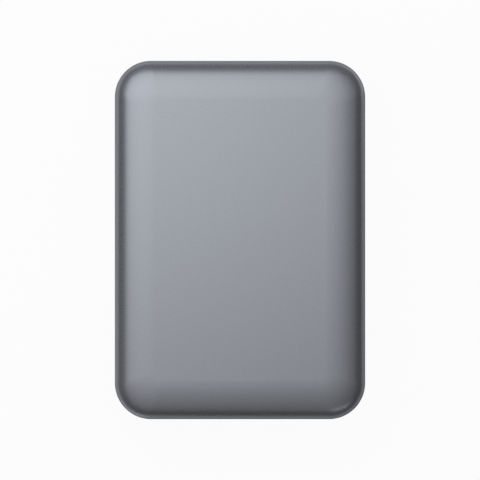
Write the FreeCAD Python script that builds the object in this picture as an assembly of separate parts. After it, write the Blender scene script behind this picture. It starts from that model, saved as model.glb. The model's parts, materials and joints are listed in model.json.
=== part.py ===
import FreeCAD, Part
import math
import os

# Desktop external hard drive: two moulded shells, a USB bridge board and a 3.5 inch drive hung in rubber.
# Millimetres, +Z up, origin on the resting plane below the middle of the enclosure.
# +Y points to the end with the ports, and +X to the right when the ports are at the far end.

# Drive envelope, from the 3.5 inch form factor
DRIVE_WIDTH = 101.6
DRIVE_LENGTH = 147.0
DRIVE_HEIGHT = 26.1
DRIVE_CORNER = 3.5
SIDE_HOLE_HEIGHT = 6.35
REAR_SIDE_HOLE = 28.5
MIDDLE_SIDE_HOLE_PITCH = 41.6
FRONT_SIDE_HOLE = 16.9
SIDE_HOLE_RADIUS = 1.65
SIDE_HOLE_DEPTH = 3.8

# Enclosure: the room left round the drive sets its outer size
WALL = 2.2
SIDE_GAP = 8.0
FRONT_GAP = 5.5
REAR_BAY = 17.7
UNDER_GAP = 2.8
OVER_GAP = 4.7
CORNER_RADIUS = 17.6
EDGE_ROUND_WIDTH = 19.0
EDGE_ROUND_HEIGHT = 9.4
FLAT_CORNER = 4.0
BASE_EDGE = 4.5
SEAM_MARGIN = 1.0
SEAM_GAP = 0.3
TONGUE_THICK = 1.0
TONGUE_HEIGHT = 1.8
FIT = 0.1

# Stiffening ribs under the top
RIB_THICK = 1.2
RIB_DEPTH = 1.4
RIB_SPREAD = 26.0
RIB_LENGTH = 120.0

# Snap hooks that hold the shells together
SNAP_WIDTH = 8.0
SNAP_THICK = 1.4
SNAP_REACH = 6.0
SNAP_ROOT = 9.0
SNAP_BARB = 0.9
SNAP_BARB_HEIGHT = 2.6
SNAP_CLEAR = 0.25
SNAP_PITCH = 26.0
SNAP_FROM_ISOLATOR = 22.0
FRONT_SNAP_SPREAD = 24.0

# Rubber feet
FOOT_RADIUS = 7.0
FOOT_PROUD = 1.0
FOOT_SEAT = 0.7
FOOT_INSET = 20.0
FOOT_CHAMFER = 0.4

# Vent slots in the base
VENT_LENGTH = 30.0
VENT_WIDTH = 2.2
VENT_PITCH = 6.5
VENT_COUNT = 8
VENT_SPREAD = 25.0

# Rubber isolators in their cradles, and the shoulder screws through them
ISOLATOR_START = 0.3
ISOLATOR_FLANGE = 1.5
ISOLATOR_FLANGE_RADIUS = 6.6
ISOLATOR_GROOVE_RADIUS = 5.0
ISOLATOR_BORE = 2.1
CRADLE_THICK = 2.0
CRADLE_SHOULDER = 4.0
CRADLE_RISE = 4.5
CRADLE_GUSSET = 1.6
HOLD_DOWN_WIDTH = 7.0
HOLD_DOWN_GAP = 0.3
SHOULDER_RADIUS = 2.0
SCREW_HEAD_RADIUS = 3.6
SCREW_HEAD_HEIGHT = 1.7
THREAD_RADIUS = 1.6
THREAD_LENGTH = 3.4

# Drive casting
LID_THICK = 1.0
LID_INSET = 0.6
LID_STEP_WIDTH = 4.0
LID_STEP_DEPTH = 0.4
LID_STEP_FROM_RIM = 8.0
BREATHER_RADIUS = 0.8
BREATHER_FROM_SIDE = 14.0
BREATHER_FROM_REAR = 12.0
GASKET_THICK = 0.5
GASKET_INSET = 0.4
CASTING_WALL = 2.1
DISC_CLEAR = 1.2
BAY_WALL = 3.2
RAIL = 5.0
UNDERSIDE_DEPTH = 4.0
CASTING_FLOOR = 3.0
FRONT_BLOCK = 6.0
MOTOR_BOSS_RADIUS = 13.0
MOTOR_BOSS_LIFT = 0.8
LID_BOSS_RADIUS = 4.2
LID_BOSS_INSET = 5.0
MIDDLE_BOSS_OFFSET = 41.0
LID_SCREW_RADIUS = 1.25
LID_SCREW_HEAD = 2.4
LID_SCREW_SEAT = 0.6
LID_SCREW_LENGTH = 6.0
UNDER_HOLE_FROM_REAR = 41.3
UNDER_HOLE_PITCH = 44.45
UNDER_HOLE_RADIUS = 1.65
UNDER_HOLE_DEPTH = 3.0

# Discs and spindle motor
PLATTER_COUNT = 3
PLATTER_THICK = 1.27
PLATTER_BORE = 12.5
PLATTER_LIFT = 3.5
SPACER_THICK = 2.6
SPACER_RADIUS = 16.0
HUB_CLEAR = 0.05
HUB_FLANGE_RADIUS = 15.8
HUB_FLANGE = 1.5
HUB_LIFT = 0.6
HUB_TOP_GAP = 0.25
SHAFT_RADIUS = 2.0
SHAFT_SEAT = 4.0
RUNNING_CLEAR = 0.03
SLEEVE_RADIUS = 4.2
ROTOR_BORE = 10.7
ROTOR_MAGNET_THICK = 1.0
MOTOR_ROOM = 5.2
STATOR_LIFT = 0.8
STATOR_BORE = 4.6
STATOR_RING = 6.2
STATOR_RADIUS = 9.4
STATOR_HEIGHT = 3.0
STATOR_TEETH = 9
TOOTH_WIDTH = 1.2
TOOTH_TIP = 0.8
COIL_WIDTH = 2.6
COIL_WRAP = 0.5
CLAMP_THICK = 1.5
CLAMP_BORE = 3.4
CLAMP_SCREWS = 6
CLAMP_SCREW_CIRCLE = 7.6
CLAMP_SCREW_RADIUS = 0.95
CLAMP_SCREW_HEAD = 1.7
CLAMP_SCREW_HEAD_HEIGHT = 0.8
CLAMP_SCREW_LENGTH = 4.0

# Actuator and voice coil motor
PIVOT_FROM_DISC = 10.5
REACH_SHORT_OF_SPINDLE = 6.0
PIVOT_X = 16.0
PARK_BEYOND_DISC = 2.0
INNER_TRACK = 21.0
PIVOT_SHAFT_RADIUS = 3.0
PIVOT_SHAFT_SEAT = 2.2
BEARING_RADIUS = 6.5
ARM_HUB_RADIUS = 8.5
ARM_LENGTH = 34.0
ARM_ROOT_WIDTH = 12.0
ARM_TIP_RADIUS = 3.0
ARM_THICK = 1.2
ARM_HOLE_RADIUS = 2.2
ARM_HOLE_AT = 20.0
COIL_INNER = 13.0
COIL_OUTER = 26.0
COIL_HALF_ANGLE = 16.0
COIL_WINDING = 3.0
COIL_WINDOW_HALF_ANGLE = 7.0
COIL_THICK = 3.0
FORK_WIDTH = 2.4
FORK_SHORT = 1.0
YOKE_INNER = 11.5
YOKE_OUTER = 29.5
YOKE_OVERLAP = 6.0
YOKE_THICK = 2.4
YOKE_POST_RADIUS = 1.2
YOKE_POST_INSET = 4.0
MAGNET_THICK = 1.8
MAGNET_INSET = 1.0
COIL_AIR_GAP = 0.6
GIMBAL_START = 29.0
GIMBAL_ROOT_WIDTH = 5.0
GIMBAL_TIP_WIDTH = 1.4
GIMBAL_THICK = 0.15
SLIDER_LENGTH = 1.2
SLIDER_WIDTH = 1.0
SLIDER_THICK = 0.35
TAB_LENGTH = 3.2
TAB_WIDTH = 0.7
RAMP_FINGER_THICK = 0.9
RAMP_FINGER_GAP = 0.8
RAMP_SPINE = 2.6
RAMP_FINGER_ANGLES = (-3.0, 5.0)
RAMP_SPINE_ANGLES = (-4.0, 1.5)
FLEX_THICK = 0.15
FLEX_HEIGHT = 6.0
FLEX_GAP = 0.2
FLEX_LOOP = 9.5
FLEX_BRACKET = (15.0, 7.0, 11.0)
BRACKET_WALL = 3.0
BRACKET_WEB_RISE = 8.8
CRASH_STOP_AT = 20.0
CRASH_STOP_RADIUS = 1.6
CRASH_STOP_FOOT = 2.2
CRASH_STOP_FOOT_HEIGHT = 1.2
CRASH_STOP_GAP = 0.3
FILTER_SIZE = (12.0, 4.5, 12.0)
FILTER_INSET = 4.0
FILTER_CORNER = 1.5
FILTER_FROM_REAR = 22.0

# Controller board under the drive
BOARD_LIFT = 0.6
BOARD_THICK = 1.2
BOARD_SIDE_GAP = 2.8
BOARD_PAST_SPINDLE = 6.0
BOARD_NOTCH_GAP = 2.5
BOARD_REAR_INSET = 1.0
BOARD_SCREW_SPREAD = 38.0
BOARD_SCREW_PITCH = 46.0
BOARD_BOSS_RADIUS = 3.0
BOARD_SCREW_RADIUS = 1.0
BOARD_SCREW_HEAD = 2.2
BOARD_SCREW_HEAD_HEIGHT = 0.45
MAIN_CHIP = (17.0, 17.0, 1.2)
CACHE_CHIP = (8.0, 11.0, 1.1)
DRIVER_CHIP = (9.0, 9.0, 1.1)
PAD_HALF_WIDTH = 31.0
PAD_LENGTH = 46.0
CHIP_FROM_SPINDLE = 36.0
CHIP_EDGE = 0.15

# SATA connector pair
SATA_X = -20.7
SATA_WIDTH = 42.0
SATA_HEIGHT = 3.5
SATA_DEPTH = 8.0
SATA_BACK = 2.0
SATA_GUIDE = 2.2
SATA_SHELL_HEIGHT = 3.8
SATA_TONGUE_THICK = 1.2
SATA_TONGUE_SHORT = 0.4
SIGNAL_TONGUE = 10.4
POWER_TONGUE = 20.6
TONGUE_SPACE = 3.0
KEY_DROP = 0.9
NOSE_HEIGHT = 3.2
RECEPTACLE_DEPTH = 5.2

# Bridge board and what is on it
BRIDGE_THICK = 1.2
BRIDGE_TOP = 1.2
BRIDGE_LEFT = -44.0
BRIDGE_RIGHT = 40.0
BRIDGE_REAR_GAP = 1.7
BRIDGE_FRONT_GAP = 0.6
BRIDGE_SCREW_INSET = 3.4
BRIDGE_SCREW_FROM_WALL = 6.5
STANDOFF_RADIUS = 3.2
BRIDGE_SCREW_RADIUS = 1.1
BRIDGE_SCREW_HEAD = 2.4
BRIDGE_SCREW_HEAD_HEIGHT = 1.2
BRIDGE_SCREW_LENGTH = 5.4
USB_X = 12.0
USB_WIDTH = 8.94
USB_HEIGHT = 3.2
USB_SHELL = 0.3
USB_LENGTH = 9.2
USB_RECESS = 0.6
USB_TONGUE_WIDTH = 6.7
USB_TONGUE_THICK = 0.7
USB_TONGUE_SHORT = 1.2
USB_BACK = 3.2
PORT_CLEAR = 0.25
JACK_X = 28.0
JACK_WIDTH = 9.0
JACK_HEIGHT = 10.8
JACK_LENGTH = 13.0
JACK_NOSE_RADIUS = 4.0
JACK_RECESS = 0.4
JACK_BORE = 2.95
JACK_DEPTH = 10.0
JACK_PIN_RADIUS = 1.05
JACK_PIN_SHORT = 1.0
JACK_PIN_ROOT = 1.5
JACK_PIN_HEIGHT = 5.7
LED_X = 0.0
LED_SIZE = (2.0, 1.6, 1.8)
PIPE_RADIUS = 1.2
PIPE_FLANGE_RADIUS = 1.8
PIPE_FLANGE = 1.0
PIPE_GAP = 0.4
BRIDGE_CHIP = (8.0, 8.0, 0.9)
BRIDGE_CHIP_X = -14.0
CAPACITOR_RADIUS = 2.0
CAPACITOR_HEIGHT = 5.4
CAPACITOR_GROOVE = 0.3
CAPACITOR_GROOVE_RISE = 1.1
CAPACITOR_X = (-34.0, -28.5, 20.0)
PARTS_FROM_WALL = 6.2
SHIELD_THICK = 0.4
SHIELD_FROM_WALL = 0.5
SHIELD_RISE = 10.4
SHIELD_TAB = 7.0

# Places worked out from the sizes above
UP = FreeCAD.Vector(0, 0, 1)
half_drive = DRIVE_WIDTH / 2
half_width = half_drive + SIDE_GAP + WALL
half_length = (DRIVE_LENGTH + FRONT_GAP + REAR_BAY) / 2 + WALL
wall_x = half_width - WALL
wall_y = half_length - WALL
floor_z = FOOT_PROUD + WALL
drive_z = floor_z + UNDER_GAP
lid_top = drive_z + DRIVE_HEIGHT
height = lid_top + OVER_GAP + WALL
round_start = height - EDGE_ROUND_HEIGHT
drive_front = -wall_y + FRONT_GAP
drive_rear = drive_front + DRIVE_LENGTH
drive_mid = (drive_front + drive_rear) / 2

isolator_z = drive_z + SIDE_HOLE_HEIGHT
isolator_rows = {
    "front": drive_front + FRONT_SIDE_HOLE,
    "rear": drive_rear - REAR_SIDE_HOLE,
}
sides = {"left": -1, "right": 1}
groove_start = ISOLATOR_START + ISOLATOR_FLANGE
groove_width = CRADLE_THICK + 2 * FIT
isolator_end = groove_start + groove_width + ISOLATOR_FLANGE
cradle_x = half_drive + groove_start + groove_width / 2

bridge_top = drive_z + BRIDGE_TOP
bridge_bottom = bridge_top - BRIDGE_THICK
bridge_back = wall_y - BRIDGE_REAR_GAP
bridge_screw_y = wall_y - BRIDGE_SCREW_FROM_WALL
bridge_screw_x = (BRIDGE_LEFT + BRIDGE_SCREW_INSET, BRIDGE_RIGHT - BRIDGE_SCREW_INSET)
parts_y = wall_y - PARTS_FROM_WALL
seam_z = bridge_top + JACK_HEIGHT + SEAM_MARGIN
usb_z = bridge_top + USB_HEIGHT / 2
usb_front = half_length - USB_RECESS
jack_z = bridge_top + JACK_PIN_HEIGHT
jack_face = wall_y - SHIELD_FROM_WALL - SHIELD_THICK - FIT
led_z = bridge_top + PIPE_FLANGE_RADIUS

floor_under = drive_z + UNDERSIDE_DEPTH
floor_top = floor_under + CASTING_FLOOR
lid_under = lid_top - LID_THICK
rim_z = lid_under - GASKET_THICK
bay_length = PIVOT_FROM_DISC + YOKE_OUTER + BAY_WALL
cavity_radius = min(half_drive - CASTING_WALL, (DRIVE_LENGTH - bay_length - CASTING_WALL + DISC_CLEAR) / 2)
disc_radius = cavity_radius - DISC_CLEAR
spindle_y = drive_front + CASTING_WALL + cavity_radius
bay_x = half_drive - BAY_WALL
bay_rear = drive_rear - BAY_WALL
platter_pitch = PLATTER_THICK + SPACER_THICK
platter_z = floor_top + PLATTER_LIFT
stack_top = platter_z + PLATTER_COUNT * platter_pitch - SPACER_THICK
hub_top = stack_top - HUB_TOP_GAP
motor_ceiling = floor_top + MOTOR_ROOM
stator_z = floor_top + STATOR_LIFT
stator_top = stator_z + STATOR_HEIGHT

pivot_distance = disc_radius + PIVOT_FROM_DISC
arm_reach = pivot_distance - REACH_SHORT_OF_SPINDLE
pivot_y = spindle_y + math.sqrt(pivot_distance ** 2 - PIVOT_X ** 2)
arm_levels = [platter_z - SPACER_THICK / 2 + k * platter_pitch for k in range(PLATTER_COUNT + 1)]
arm_middle = (arm_levels[0] + arm_levels[-1]) / 2

board_z = drive_z + BOARD_LIFT
board_top = board_z + BOARD_THICK
sata_z = drive_z + SATA_HEIGHT


def head_angle(radius):
    """Angle at the pivot between the spindle and a head over this radius, in degrees."""
    cosine = (pivot_distance ** 2 + arm_reach ** 2 - radius ** 2) / (2 * pivot_distance * arm_reach)
    return math.degrees(math.acos(cosine))


parked = head_angle(disc_radius + PARK_BEYOND_DISC)
swing = parked - head_angle(INNER_TRACK)
arm_angle = math.degrees(math.atan2(spindle_y - pivot_y, -PIVOT_X)) - parked
coil_angle = arm_angle + 180


def point(x, y, z):
    return FreeCAD.Vector(x, y, z)


def box(x, y, z):
    """Block between a low and a high value on each axis."""
    return Part.makeBox(x[1] - x[0], y[1] - y[0], z[1] - z[0], point(x[0], y[0], z[0]))


def about(middle, width):
    """Low and high value of a width centred on a middle."""
    return middle - width / 2, middle + width / 2


def rod(x, y, z, radius):
    """Upright cylinder between two heights."""
    return Part.makeCylinder(radius, z[1] - z[0], point(x, y, z[0]))


def rod_along_y(x, y, z, radius):
    """Cylinder that lies along Y between two values of y."""
    return Part.makeCylinder(radius, y[1] - y[0], point(x, y[0], z), point(0, 1, 0))


def tube(x, y, z, inner, outer):
    """Upright ring between two heights."""
    return rod(x, y, z, outer).cut(rod(x, y, z, inner))


def corner_poles(half_x, half_y, corner, z, middle_y=0.0):
    """Start, tip and end of each round corner of a rectangle, anticlockwise from its front right corner."""
    corners = []
    for side_x, side_y in ((1, -1), (1, 1), (-1, 1), (-1, -1)):
        x = side_x * half_x
        y = middle_y + side_y * half_y
        on_end = point(x - side_x * corner, y, z)
        on_side = point(x, y - side_y * corner, z)
        tip = point(x, y, z)
        corners.append((on_end, tip, on_side) if side_x != side_y else (on_side, tip, on_end))
    return corners


def outline(half_x, half_y, corner, z, middle_y=0.0):
    """Wire of a rectangle with round corners."""
    corners = corner_poles(half_x, half_y, corner, z, middle_y)
    edges = []
    for (start, tip, end), following in zip(corners, corners[1:] + corners[:1]):
        centre = start + end - tip
        middle = centre + (tip - centre) * math.sqrt(0.5)
        edges.append(Part.Arc(start, middle, end).toShape())
        edges.append(Part.LineSegment(end, following[0]).toShape())
    return Part.Wire(edges)


def slab(half_x, half_y, corner, z, middle_y=0.0):
    """Rounded rectangle between two heights."""
    return Part.Face(outline(half_x, half_y, corner, z[0], middle_y)).extrude(point(0, 0, z[1] - z[0]))


def polygon(points, z):
    """Prism of a flat outline, given as x and y, between two heights."""
    corners = [point(x, y, z[0]) for x, y in points]
    return Part.Face(Part.makePolygon(corners + corners[:1])).extrude(point(0, 0, z[1] - z[0]))


def profile_along_y(points, y):
    """Prism of an upright outline, given as x and z, between two values of y."""
    corners = [point(x, y[0], z) for x, z in points]
    return Part.Face(Part.makePolygon(corners + corners[:1])).extrude(point(0, y[1] - y[0], 0))


def sector(radii, angles, z):
    """Piece of a ring about the origin, between two radii and two angles in degrees."""
    def at(radius, angle):
        return point(radius * math.cos(math.radians(angle)), radius * math.sin(math.radians(angle)), z[0])

    inner, outer = radii
    start, end = angles
    middle = (start + end) / 2
    edges = [
        Part.Arc(at(outer, start), at(outer, middle), at(outer, end)).toShape(),
        Part.LineSegment(at(outer, end), at(inner, end)).toShape(),
        Part.Arc(at(inner, end), at(inner, middle), at(inner, start)).toShape(),
        Part.LineSegment(at(inner, start), at(outer, start)).toShape(),
    ]
    return Part.Face(Part.Wire(edges)).extrude(point(0, 0, z[1] - z[0]))


def turned(profile):
    """Solid of revolution about Z from a closed outline of radius and height."""
    corners = [point(radius, 0, z) for radius, z in profile]
    return Part.Face(Part.makePolygon(corners + corners[:1])).revolve(point(0, 0, 0), UP, 360)


def placed(shape, x, y, angle=0.0, z=0.0):
    """Copy of a shape turned about Z at the origin and then moved."""
    copy = shape.copy()
    copy.rotate(point(0, 0, 0), UP, angle)
    copy.translate(point(x, y, z))
    return copy


def sideways(shape, side, y, z):
    """Copy of a shape made along +Z, laid along X so that it starts at the drive's left or right side."""
    copy = shape.copy()
    copy.rotate(point(0, 0, 0), point(0, 1, 0), 90 * side)
    copy.translate(point(side * half_drive, y, z))
    return copy


def joined(shapes):
    """One solid from shapes that touch or overlap."""
    shapes = list(shapes)
    return shapes[0].multiFuse(shapes[1:]).removeSplitter()


def without(shape, cutters):
    """Shape with every cutter taken away."""
    return shape.cut(list(cutters))


def flat_edges(shape, z):
    """Edges of a shape that lie at one height."""
    return [e for e in shape.Edges if all(abs(v.Z - z) < 1e-6 for v in e.Vertexes)]


def save(name, *solids):
    """Writes one node, as one solid or a group of separate ones."""
    found = [s for shape in solids for s in shape.Solids]
    for solid in found:
        if not solid.isValid() or solid.Volume <= 0:
            raise ValueError(name + " has a faulty solid")
    whole = found[0] if len(found) == 1 else Part.makeCompound(found)
    whole.exportStep("parts/" + name + ".step")
    print(name, len(found), "solid(s)", round(whole.Volume / 1000, 3), "cm3")


def rolled_patch(rows):
    """Face that rolls over along a quarter of an ellipse, from a foot, a shoulder and a crest row of poles.

    Two poles in a row make a straight side, and three make a round corner.
    """
    count = len(rows[0])
    quarter = (1, math.sqrt(0.5), 1)
    across = quarter if count == len(quarter) else (1, 1)
    weights = [[along * other for other in across] for along in quarter]
    poles = [list(row) for row in rows]
    repeats = ([len(quarter)] * 2, [count] * 2)
    knots = ([0, 1], [0, 1])
    degrees = (len(quarter) - 1, count - 1)
    surface = Part.BSplineSurface()
    surface.buildFromPolesMultsKnots(poles, *repeats, *knots, False, False, *degrees, weights)
    return surface.toShape()


def pillow(half_x, half_y, corner, roll, z):
    """Solid whose side rolls over into a flat top, tangent to both; its corners tighten on the way in."""
    foot_size = (half_x, half_y, corner)
    crest_size = (half_x - roll, half_y - roll, FLAT_CORNER)
    rings = [corner_poles(*foot_size, z[0]), corner_poles(*foot_size, z[1]), corner_poles(*crest_size, z[1])]
    faces = [Part.Face(outline(*foot_size, z[0])), Part.Face(outline(*crest_size, z[1]))]
    for k in range(4):
        faces.append(rolled_patch([ring[k] for ring in rings]))
        faces.append(rolled_patch([(ring[k - 1][-1], ring[k][0]) for ring in rings]))
    return Part.makeSolid(Part.makeShell(faces))


def cover_body(depth, bottom):
    """Solid bounded by the top cover's skin at a depth below its outer surface."""
    size = (half_width - depth, half_length - depth, CORNER_RADIUS - depth)
    wall = slab(*size, (bottom, round_start))
    return joined([wall, pillow(*size, EDGE_ROUND_WIDTH - depth, (round_start, height - depth))])


def snap_places():
    """Where the snap hooks are: a point on the inner wall, and the direction that faces the wall."""
    middle = (isolator_rows["front"] + isolator_rows["rear"]) / 2
    rows = (middle - SNAP_PITCH, middle + SNAP_PITCH, isolator_rows["rear"] + SNAP_FROM_ISOLATOR)
    places = [(side * wall_x, y, 90 - 90 * side) for side in (-1, 1) for y in rows]
    return places + [(side * FRONT_SNAP_SPREAD, -wall_y, -90) for side in (-1, 1)]


def snap_hook():
    """Hook that hangs from the top cover, with the wall's inner face at x of 0 and its barb on +X."""
    face = -SNAP_CLEAR
    low = seam_z - SNAP_REACH
    top = seam_z + SNAP_ROOT
    width = about(0, SNAP_WIDTH)
    arm = box((face - SNAP_THICK, face), width, (low, top))
    root = box((face - SNAP_THICK, WALL / 2), width, (seam_z + TONGUE_HEIGHT + 2 * SEAM_GAP, top))
    tip = face + SNAP_BARB
    catch = low + SNAP_BARB_HEIGHT
    barb = profile_along_y([(face, low), (tip, (low + catch) / 2), (tip, catch), (face, catch)], width)
    return joined([arm, root, barb])


def snap_pocket():
    """Pocket for a snap hook's barb in the base's wall."""
    low = seam_z - SNAP_REACH
    depth = SNAP_BARB - SNAP_CLEAR + SEAM_GAP
    z = (low, low + SNAP_BARB_HEIGHT + SNAP_CLEAR)
    return box((-WALL, depth), about(0, SNAP_WIDTH + 4 * SNAP_CLEAR), z)


def hold_down(side, y, top):
    """Rib that reaches from the top cover down to an isolator's groove."""
    low = isolator_z + ISOLATOR_GROOVE_RADIUS + HOLD_DOWN_GAP
    return box(about(side * cradle_x, CRADLE_THICK), about(y, HOLD_DOWN_WIDTH), (low, top))


def top_cover():
    """Upper shell: a pillow with a wall of even thickness, hooks, hold-down ribs and stiffening ribs."""
    bottom = seam_z + SEAM_GAP
    outside = cover_body(0.0, bottom)
    inside = cover_body(WALL, bottom - 1)
    rib_z = (height - WALL - RIB_DEPTH, height)
    rib_rows = (-RIB_SPREAD, 0, RIB_SPREAD)
    ribs = [box(about(x, RIB_THICK), about(0, RIB_LENGTH), rib_z) for x in rib_rows]
    ribs += [hold_down(side, y, height) for side in sides.values() for y in isolator_rows.values()]
    ribs = [rib.common(outside) for rib in ribs]
    hooks = [placed(snap_hook(), *place) for place in snap_places()]
    skirt = WALL - TONGUE_THICK - FIT
    groove_z = (bottom - 1, seam_z + TONGUE_HEIGHT + SEAM_GAP)
    groove = slab(half_width - skirt, half_length - skirt, CORNER_RADIUS - skirt, groove_z)
    shell = outside.cut([inside, groove])
    return joined([shell, *ribs, *hooks])


def cradle(side, y, outside):
    """Plate with a U-shaped slot that an isolator drops into, tied to the side wall by two gussets."""
    slot = ISOLATOR_GROOVE_RADIUS + FIT
    half = slot + CRADLE_SHOULDER
    top = isolator_z + CRADLE_RISE
    x = about(side * cradle_x, CRADLE_THICK)
    plate = box(x, (y - half, y + half), (floor_z - WALL / 2, top))
    reach = sorted((side * cradle_x, side * (wall_x + WALL / 2)))
    gussets = [
        box(reach, about(y + end * (half - CRADLE_GUSSET / 2), CRADLE_GUSSET), (floor_z - WALL / 2, top))
        for end in (-1, 1)
    ]
    through = about(side * cradle_x, 2 * CRADLE_THICK)
    round_end = Part.makeCylinder(slot, 2 * CRADLE_THICK, point(through[0], y, isolator_z), point(1, 0, 0))
    mouth = box(through, (y - slot, y + slot), (isolator_z, top + 1))
    return joined([plate, *gussets]).cut([round_end, mouth]).common(outside)


def vent_slots():
    """Rows of slots with round ends through the base."""
    slots = []
    z = (0, floor_z + 1)
    for side in (-1, 1):
        for row in range(VENT_COUNT):
            y = drive_mid + (row - (VENT_COUNT - 1) / 2) * VENT_PITCH
            ends = about(side * VENT_SPREAD, VENT_LENGTH - VENT_WIDTH)
            slots.append(box(ends, about(y, VENT_WIDTH), z))
            slots += [rod(x, y, z, VENT_WIDTH / 2) for x in ends]
    return slots


def port_shape(clear, y):
    """Stadium of the USB receptacle, grown by a clearance, between two values of y."""
    radius = USB_HEIGHT / 2 + clear
    middle = (USB_WIDTH - USB_HEIGHT) / 2
    bar = box(about(USB_X, 2 * middle), y, about(usb_z, 2 * radius))
    return joined([bar, *[rod_along_y(USB_X + side * middle, y, usb_z, radius) for side in (-1, 1)]])


def foot_places():
    """Middle of each rubber foot by name."""
    x = half_width - FOOT_INSET
    y = half_length - FOOT_INSET
    ends = {"front": -y, "rear": y}
    return {"foot_" + end + "_" + side: (sides[side] * x, ends[end]) for end in ends for side in sides}


def base_cover():
    """Lower tray: wall with a tongue, cradles, stand-offs, vents, port openings and seats for the feet."""
    outside = slab(half_width, half_length, CORNER_RADIUS, (FOOT_PROUD, seam_z))
    outside = outside.makeFillet(BASE_EDGE, flat_edges(outside, FOOT_PROUD))
    inner_corner = CORNER_RADIUS - WALL
    inside = slab(wall_x, wall_y, inner_corner, (floor_z, height))
    inside = inside.makeFillet(BASE_EDGE - WALL, flat_edges(inside, floor_z))
    tongue_z = (seam_z - TONGUE_HEIGHT, seam_z + TONGUE_HEIGHT)
    outer = WALL - TONGUE_THICK
    tongue = slab(half_width - outer, half_length - outer, CORNER_RADIUS - outer, tongue_z)
    tongue = tongue.cut(slab(wall_x, wall_y, inner_corner, tongue_z))
    standoffs = [
        rod(x, bridge_screw_y, (floor_z - WALL / 2, bridge_bottom - SHIELD_THICK), STANDOFF_RADIUS)
        for x in bridge_screw_x
    ]
    cradles = [cradle(side, y, outside) for side in sides.values() for y in isolator_rows.values()]
    tray = joined([outside.cut(inside), tongue, *standoffs, *cradles])
    through_wall = (wall_y - WALL, half_length + WALL)
    cutters = [placed(snap_pocket(), *place) for place in snap_places()]
    cutters += vent_slots()
    cutters.append(port_shape(PORT_CLEAR, through_wall))
    cutters.append(rod_along_y(JACK_X, through_wall, jack_z, JACK_NOSE_RADIUS + PORT_CLEAR))
    cutters.append(rod_along_y(LED_X, through_wall, led_z, PIPE_RADIUS + FIT))
    cutters += [rod(x, y, (0, FOOT_PROUD + FOOT_SEAT), FOOT_RADIUS + FIT) for x, y in foot_places().values()]
    pilot_z = (bridge_top - BRIDGE_SCREW_LENGTH - FIT, bridge_bottom)
    cutters += [rod(x, bridge_screw_y, pilot_z, BRIDGE_SCREW_RADIUS + FIT / 2) for x in bridge_screw_x]
    return without(tray, cutters)


def foot(x, y):
    """Round rubber foot with a chamfered lower edge."""
    pad = rod(x, y, (0, FOOT_PROUD + FOOT_SEAT), FOOT_RADIUS)
    return pad.makeChamfer(FOOT_CHAMFER, flat_edges(pad, 0))


def isolator():
    """Rubber grommet along +Z from the drive's side: two flanges with a groove between them."""
    groove_end = groove_start + groove_width
    return turned([
        (ISOLATOR_BORE, ISOLATOR_START),
        (ISOLATOR_FLANGE_RADIUS, ISOLATOR_START),
        (ISOLATOR_FLANGE_RADIUS, groove_start),
        (ISOLATOR_GROOVE_RADIUS, groove_start),
        (ISOLATOR_GROOVE_RADIUS, groove_end),
        (ISOLATOR_FLANGE_RADIUS, groove_end),
        (ISOLATOR_FLANGE_RADIUS, isolator_end),
        (ISOLATOR_BORE, isolator_end),
    ])


def isolator_screw():
    """Shoulder screw along +Z: its shoulder stops on the drive's side and its head holds the grommet."""
    return turned([
        (0, -THREAD_LENGTH),
        (THREAD_RADIUS, -THREAD_LENGTH),
        (THREAD_RADIUS, 0),
        (SHOULDER_RADIUS, 0),
        (SHOULDER_RADIUS, isolator_end),
        (SCREW_HEAD_RADIUS, isolator_end),
        (SCREW_HEAD_RADIUS, isolator_end + SCREW_HEAD_HEIGHT),
        (0, isolator_end + SCREW_HEAD_HEIGHT),
    ])


def headed_screw(x, y, z, radius, length, head_radius, head_height, upwards=False):
    """Screw with its head's seat at height z; upwards means that it is driven from below."""
    way = 1 if upwards else -1
    shank = rod(x, y, sorted((z, z + way * length)), radius)
    head = rod(x, y, sorted((z, z - way * head_height)), head_radius)
    return joined([shank, head])


def bridge_board():
    """Small board behind the drive that turns SATA into USB."""
    y = (drive_rear + BRIDGE_FRONT_GAP, bridge_back)
    board = box((BRIDGE_LEFT, BRIDGE_RIGHT), y, (bridge_bottom, bridge_top))
    holes = [rod(x, bridge_screw_y, (0, height), BRIDGE_SCREW_RADIUS + FIT) for x in bridge_screw_x]
    return board.cut(holes)


def usb_shell():
    """Drawn steel can of the USB-C receptacle, closed at the back."""
    y = (usb_front - USB_LENGTH, usb_front)
    return port_shape(0, y).cut(port_shape(-USB_SHELL, (y[0] + USB_SHELL, y[1] + 1)))


def usb_tongue():
    """Moulded insert of the USB-C receptacle: a block at the back and a thin tongue in the mouth."""
    back = usb_front - USB_LENGTH + USB_SHELL
    block = port_shape(-USB_SHELL, (back, back + USB_BACK))
    reach = (back + USB_BACK - USB_SHELL, usb_front - USB_TONGUE_SHORT)
    tongue = box(about(USB_X, USB_TONGUE_WIDTH), reach, about(usb_z, USB_TONGUE_THICK))
    tongue = tongue.makeFillet(USB_TONGUE_THICK * 0.4, [e for e in tongue.Edges if e.BoundBox.YLength < FIT
                                                        and abs(e.CenterOfMass.y - reach[1]) < FIT])
    return joined([block, tongue])


def power_jack_body():
    """Moulded barrel jack: a block with a round nose that reaches into the wall, and a deep bore."""
    z = (bridge_top, bridge_top + JACK_HEIGHT)
    block = box(about(JACK_X, JACK_WIDTH), (jack_face - JACK_LENGTH, jack_face), z)
    front = half_length - JACK_RECESS
    nose = rod_along_y(JACK_X, (jack_face - 1, front), jack_z, JACK_NOSE_RADIUS)
    bore = rod_along_y(JACK_X, (front - JACK_DEPTH, front + 1), jack_z, JACK_BORE)
    seat = rod_along_y(JACK_X, (front - JACK_DEPTH - JACK_PIN_ROOT, front), jack_z, JACK_PIN_RADIUS)
    return joined([block, nose]).cut([bore, seat])


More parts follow.
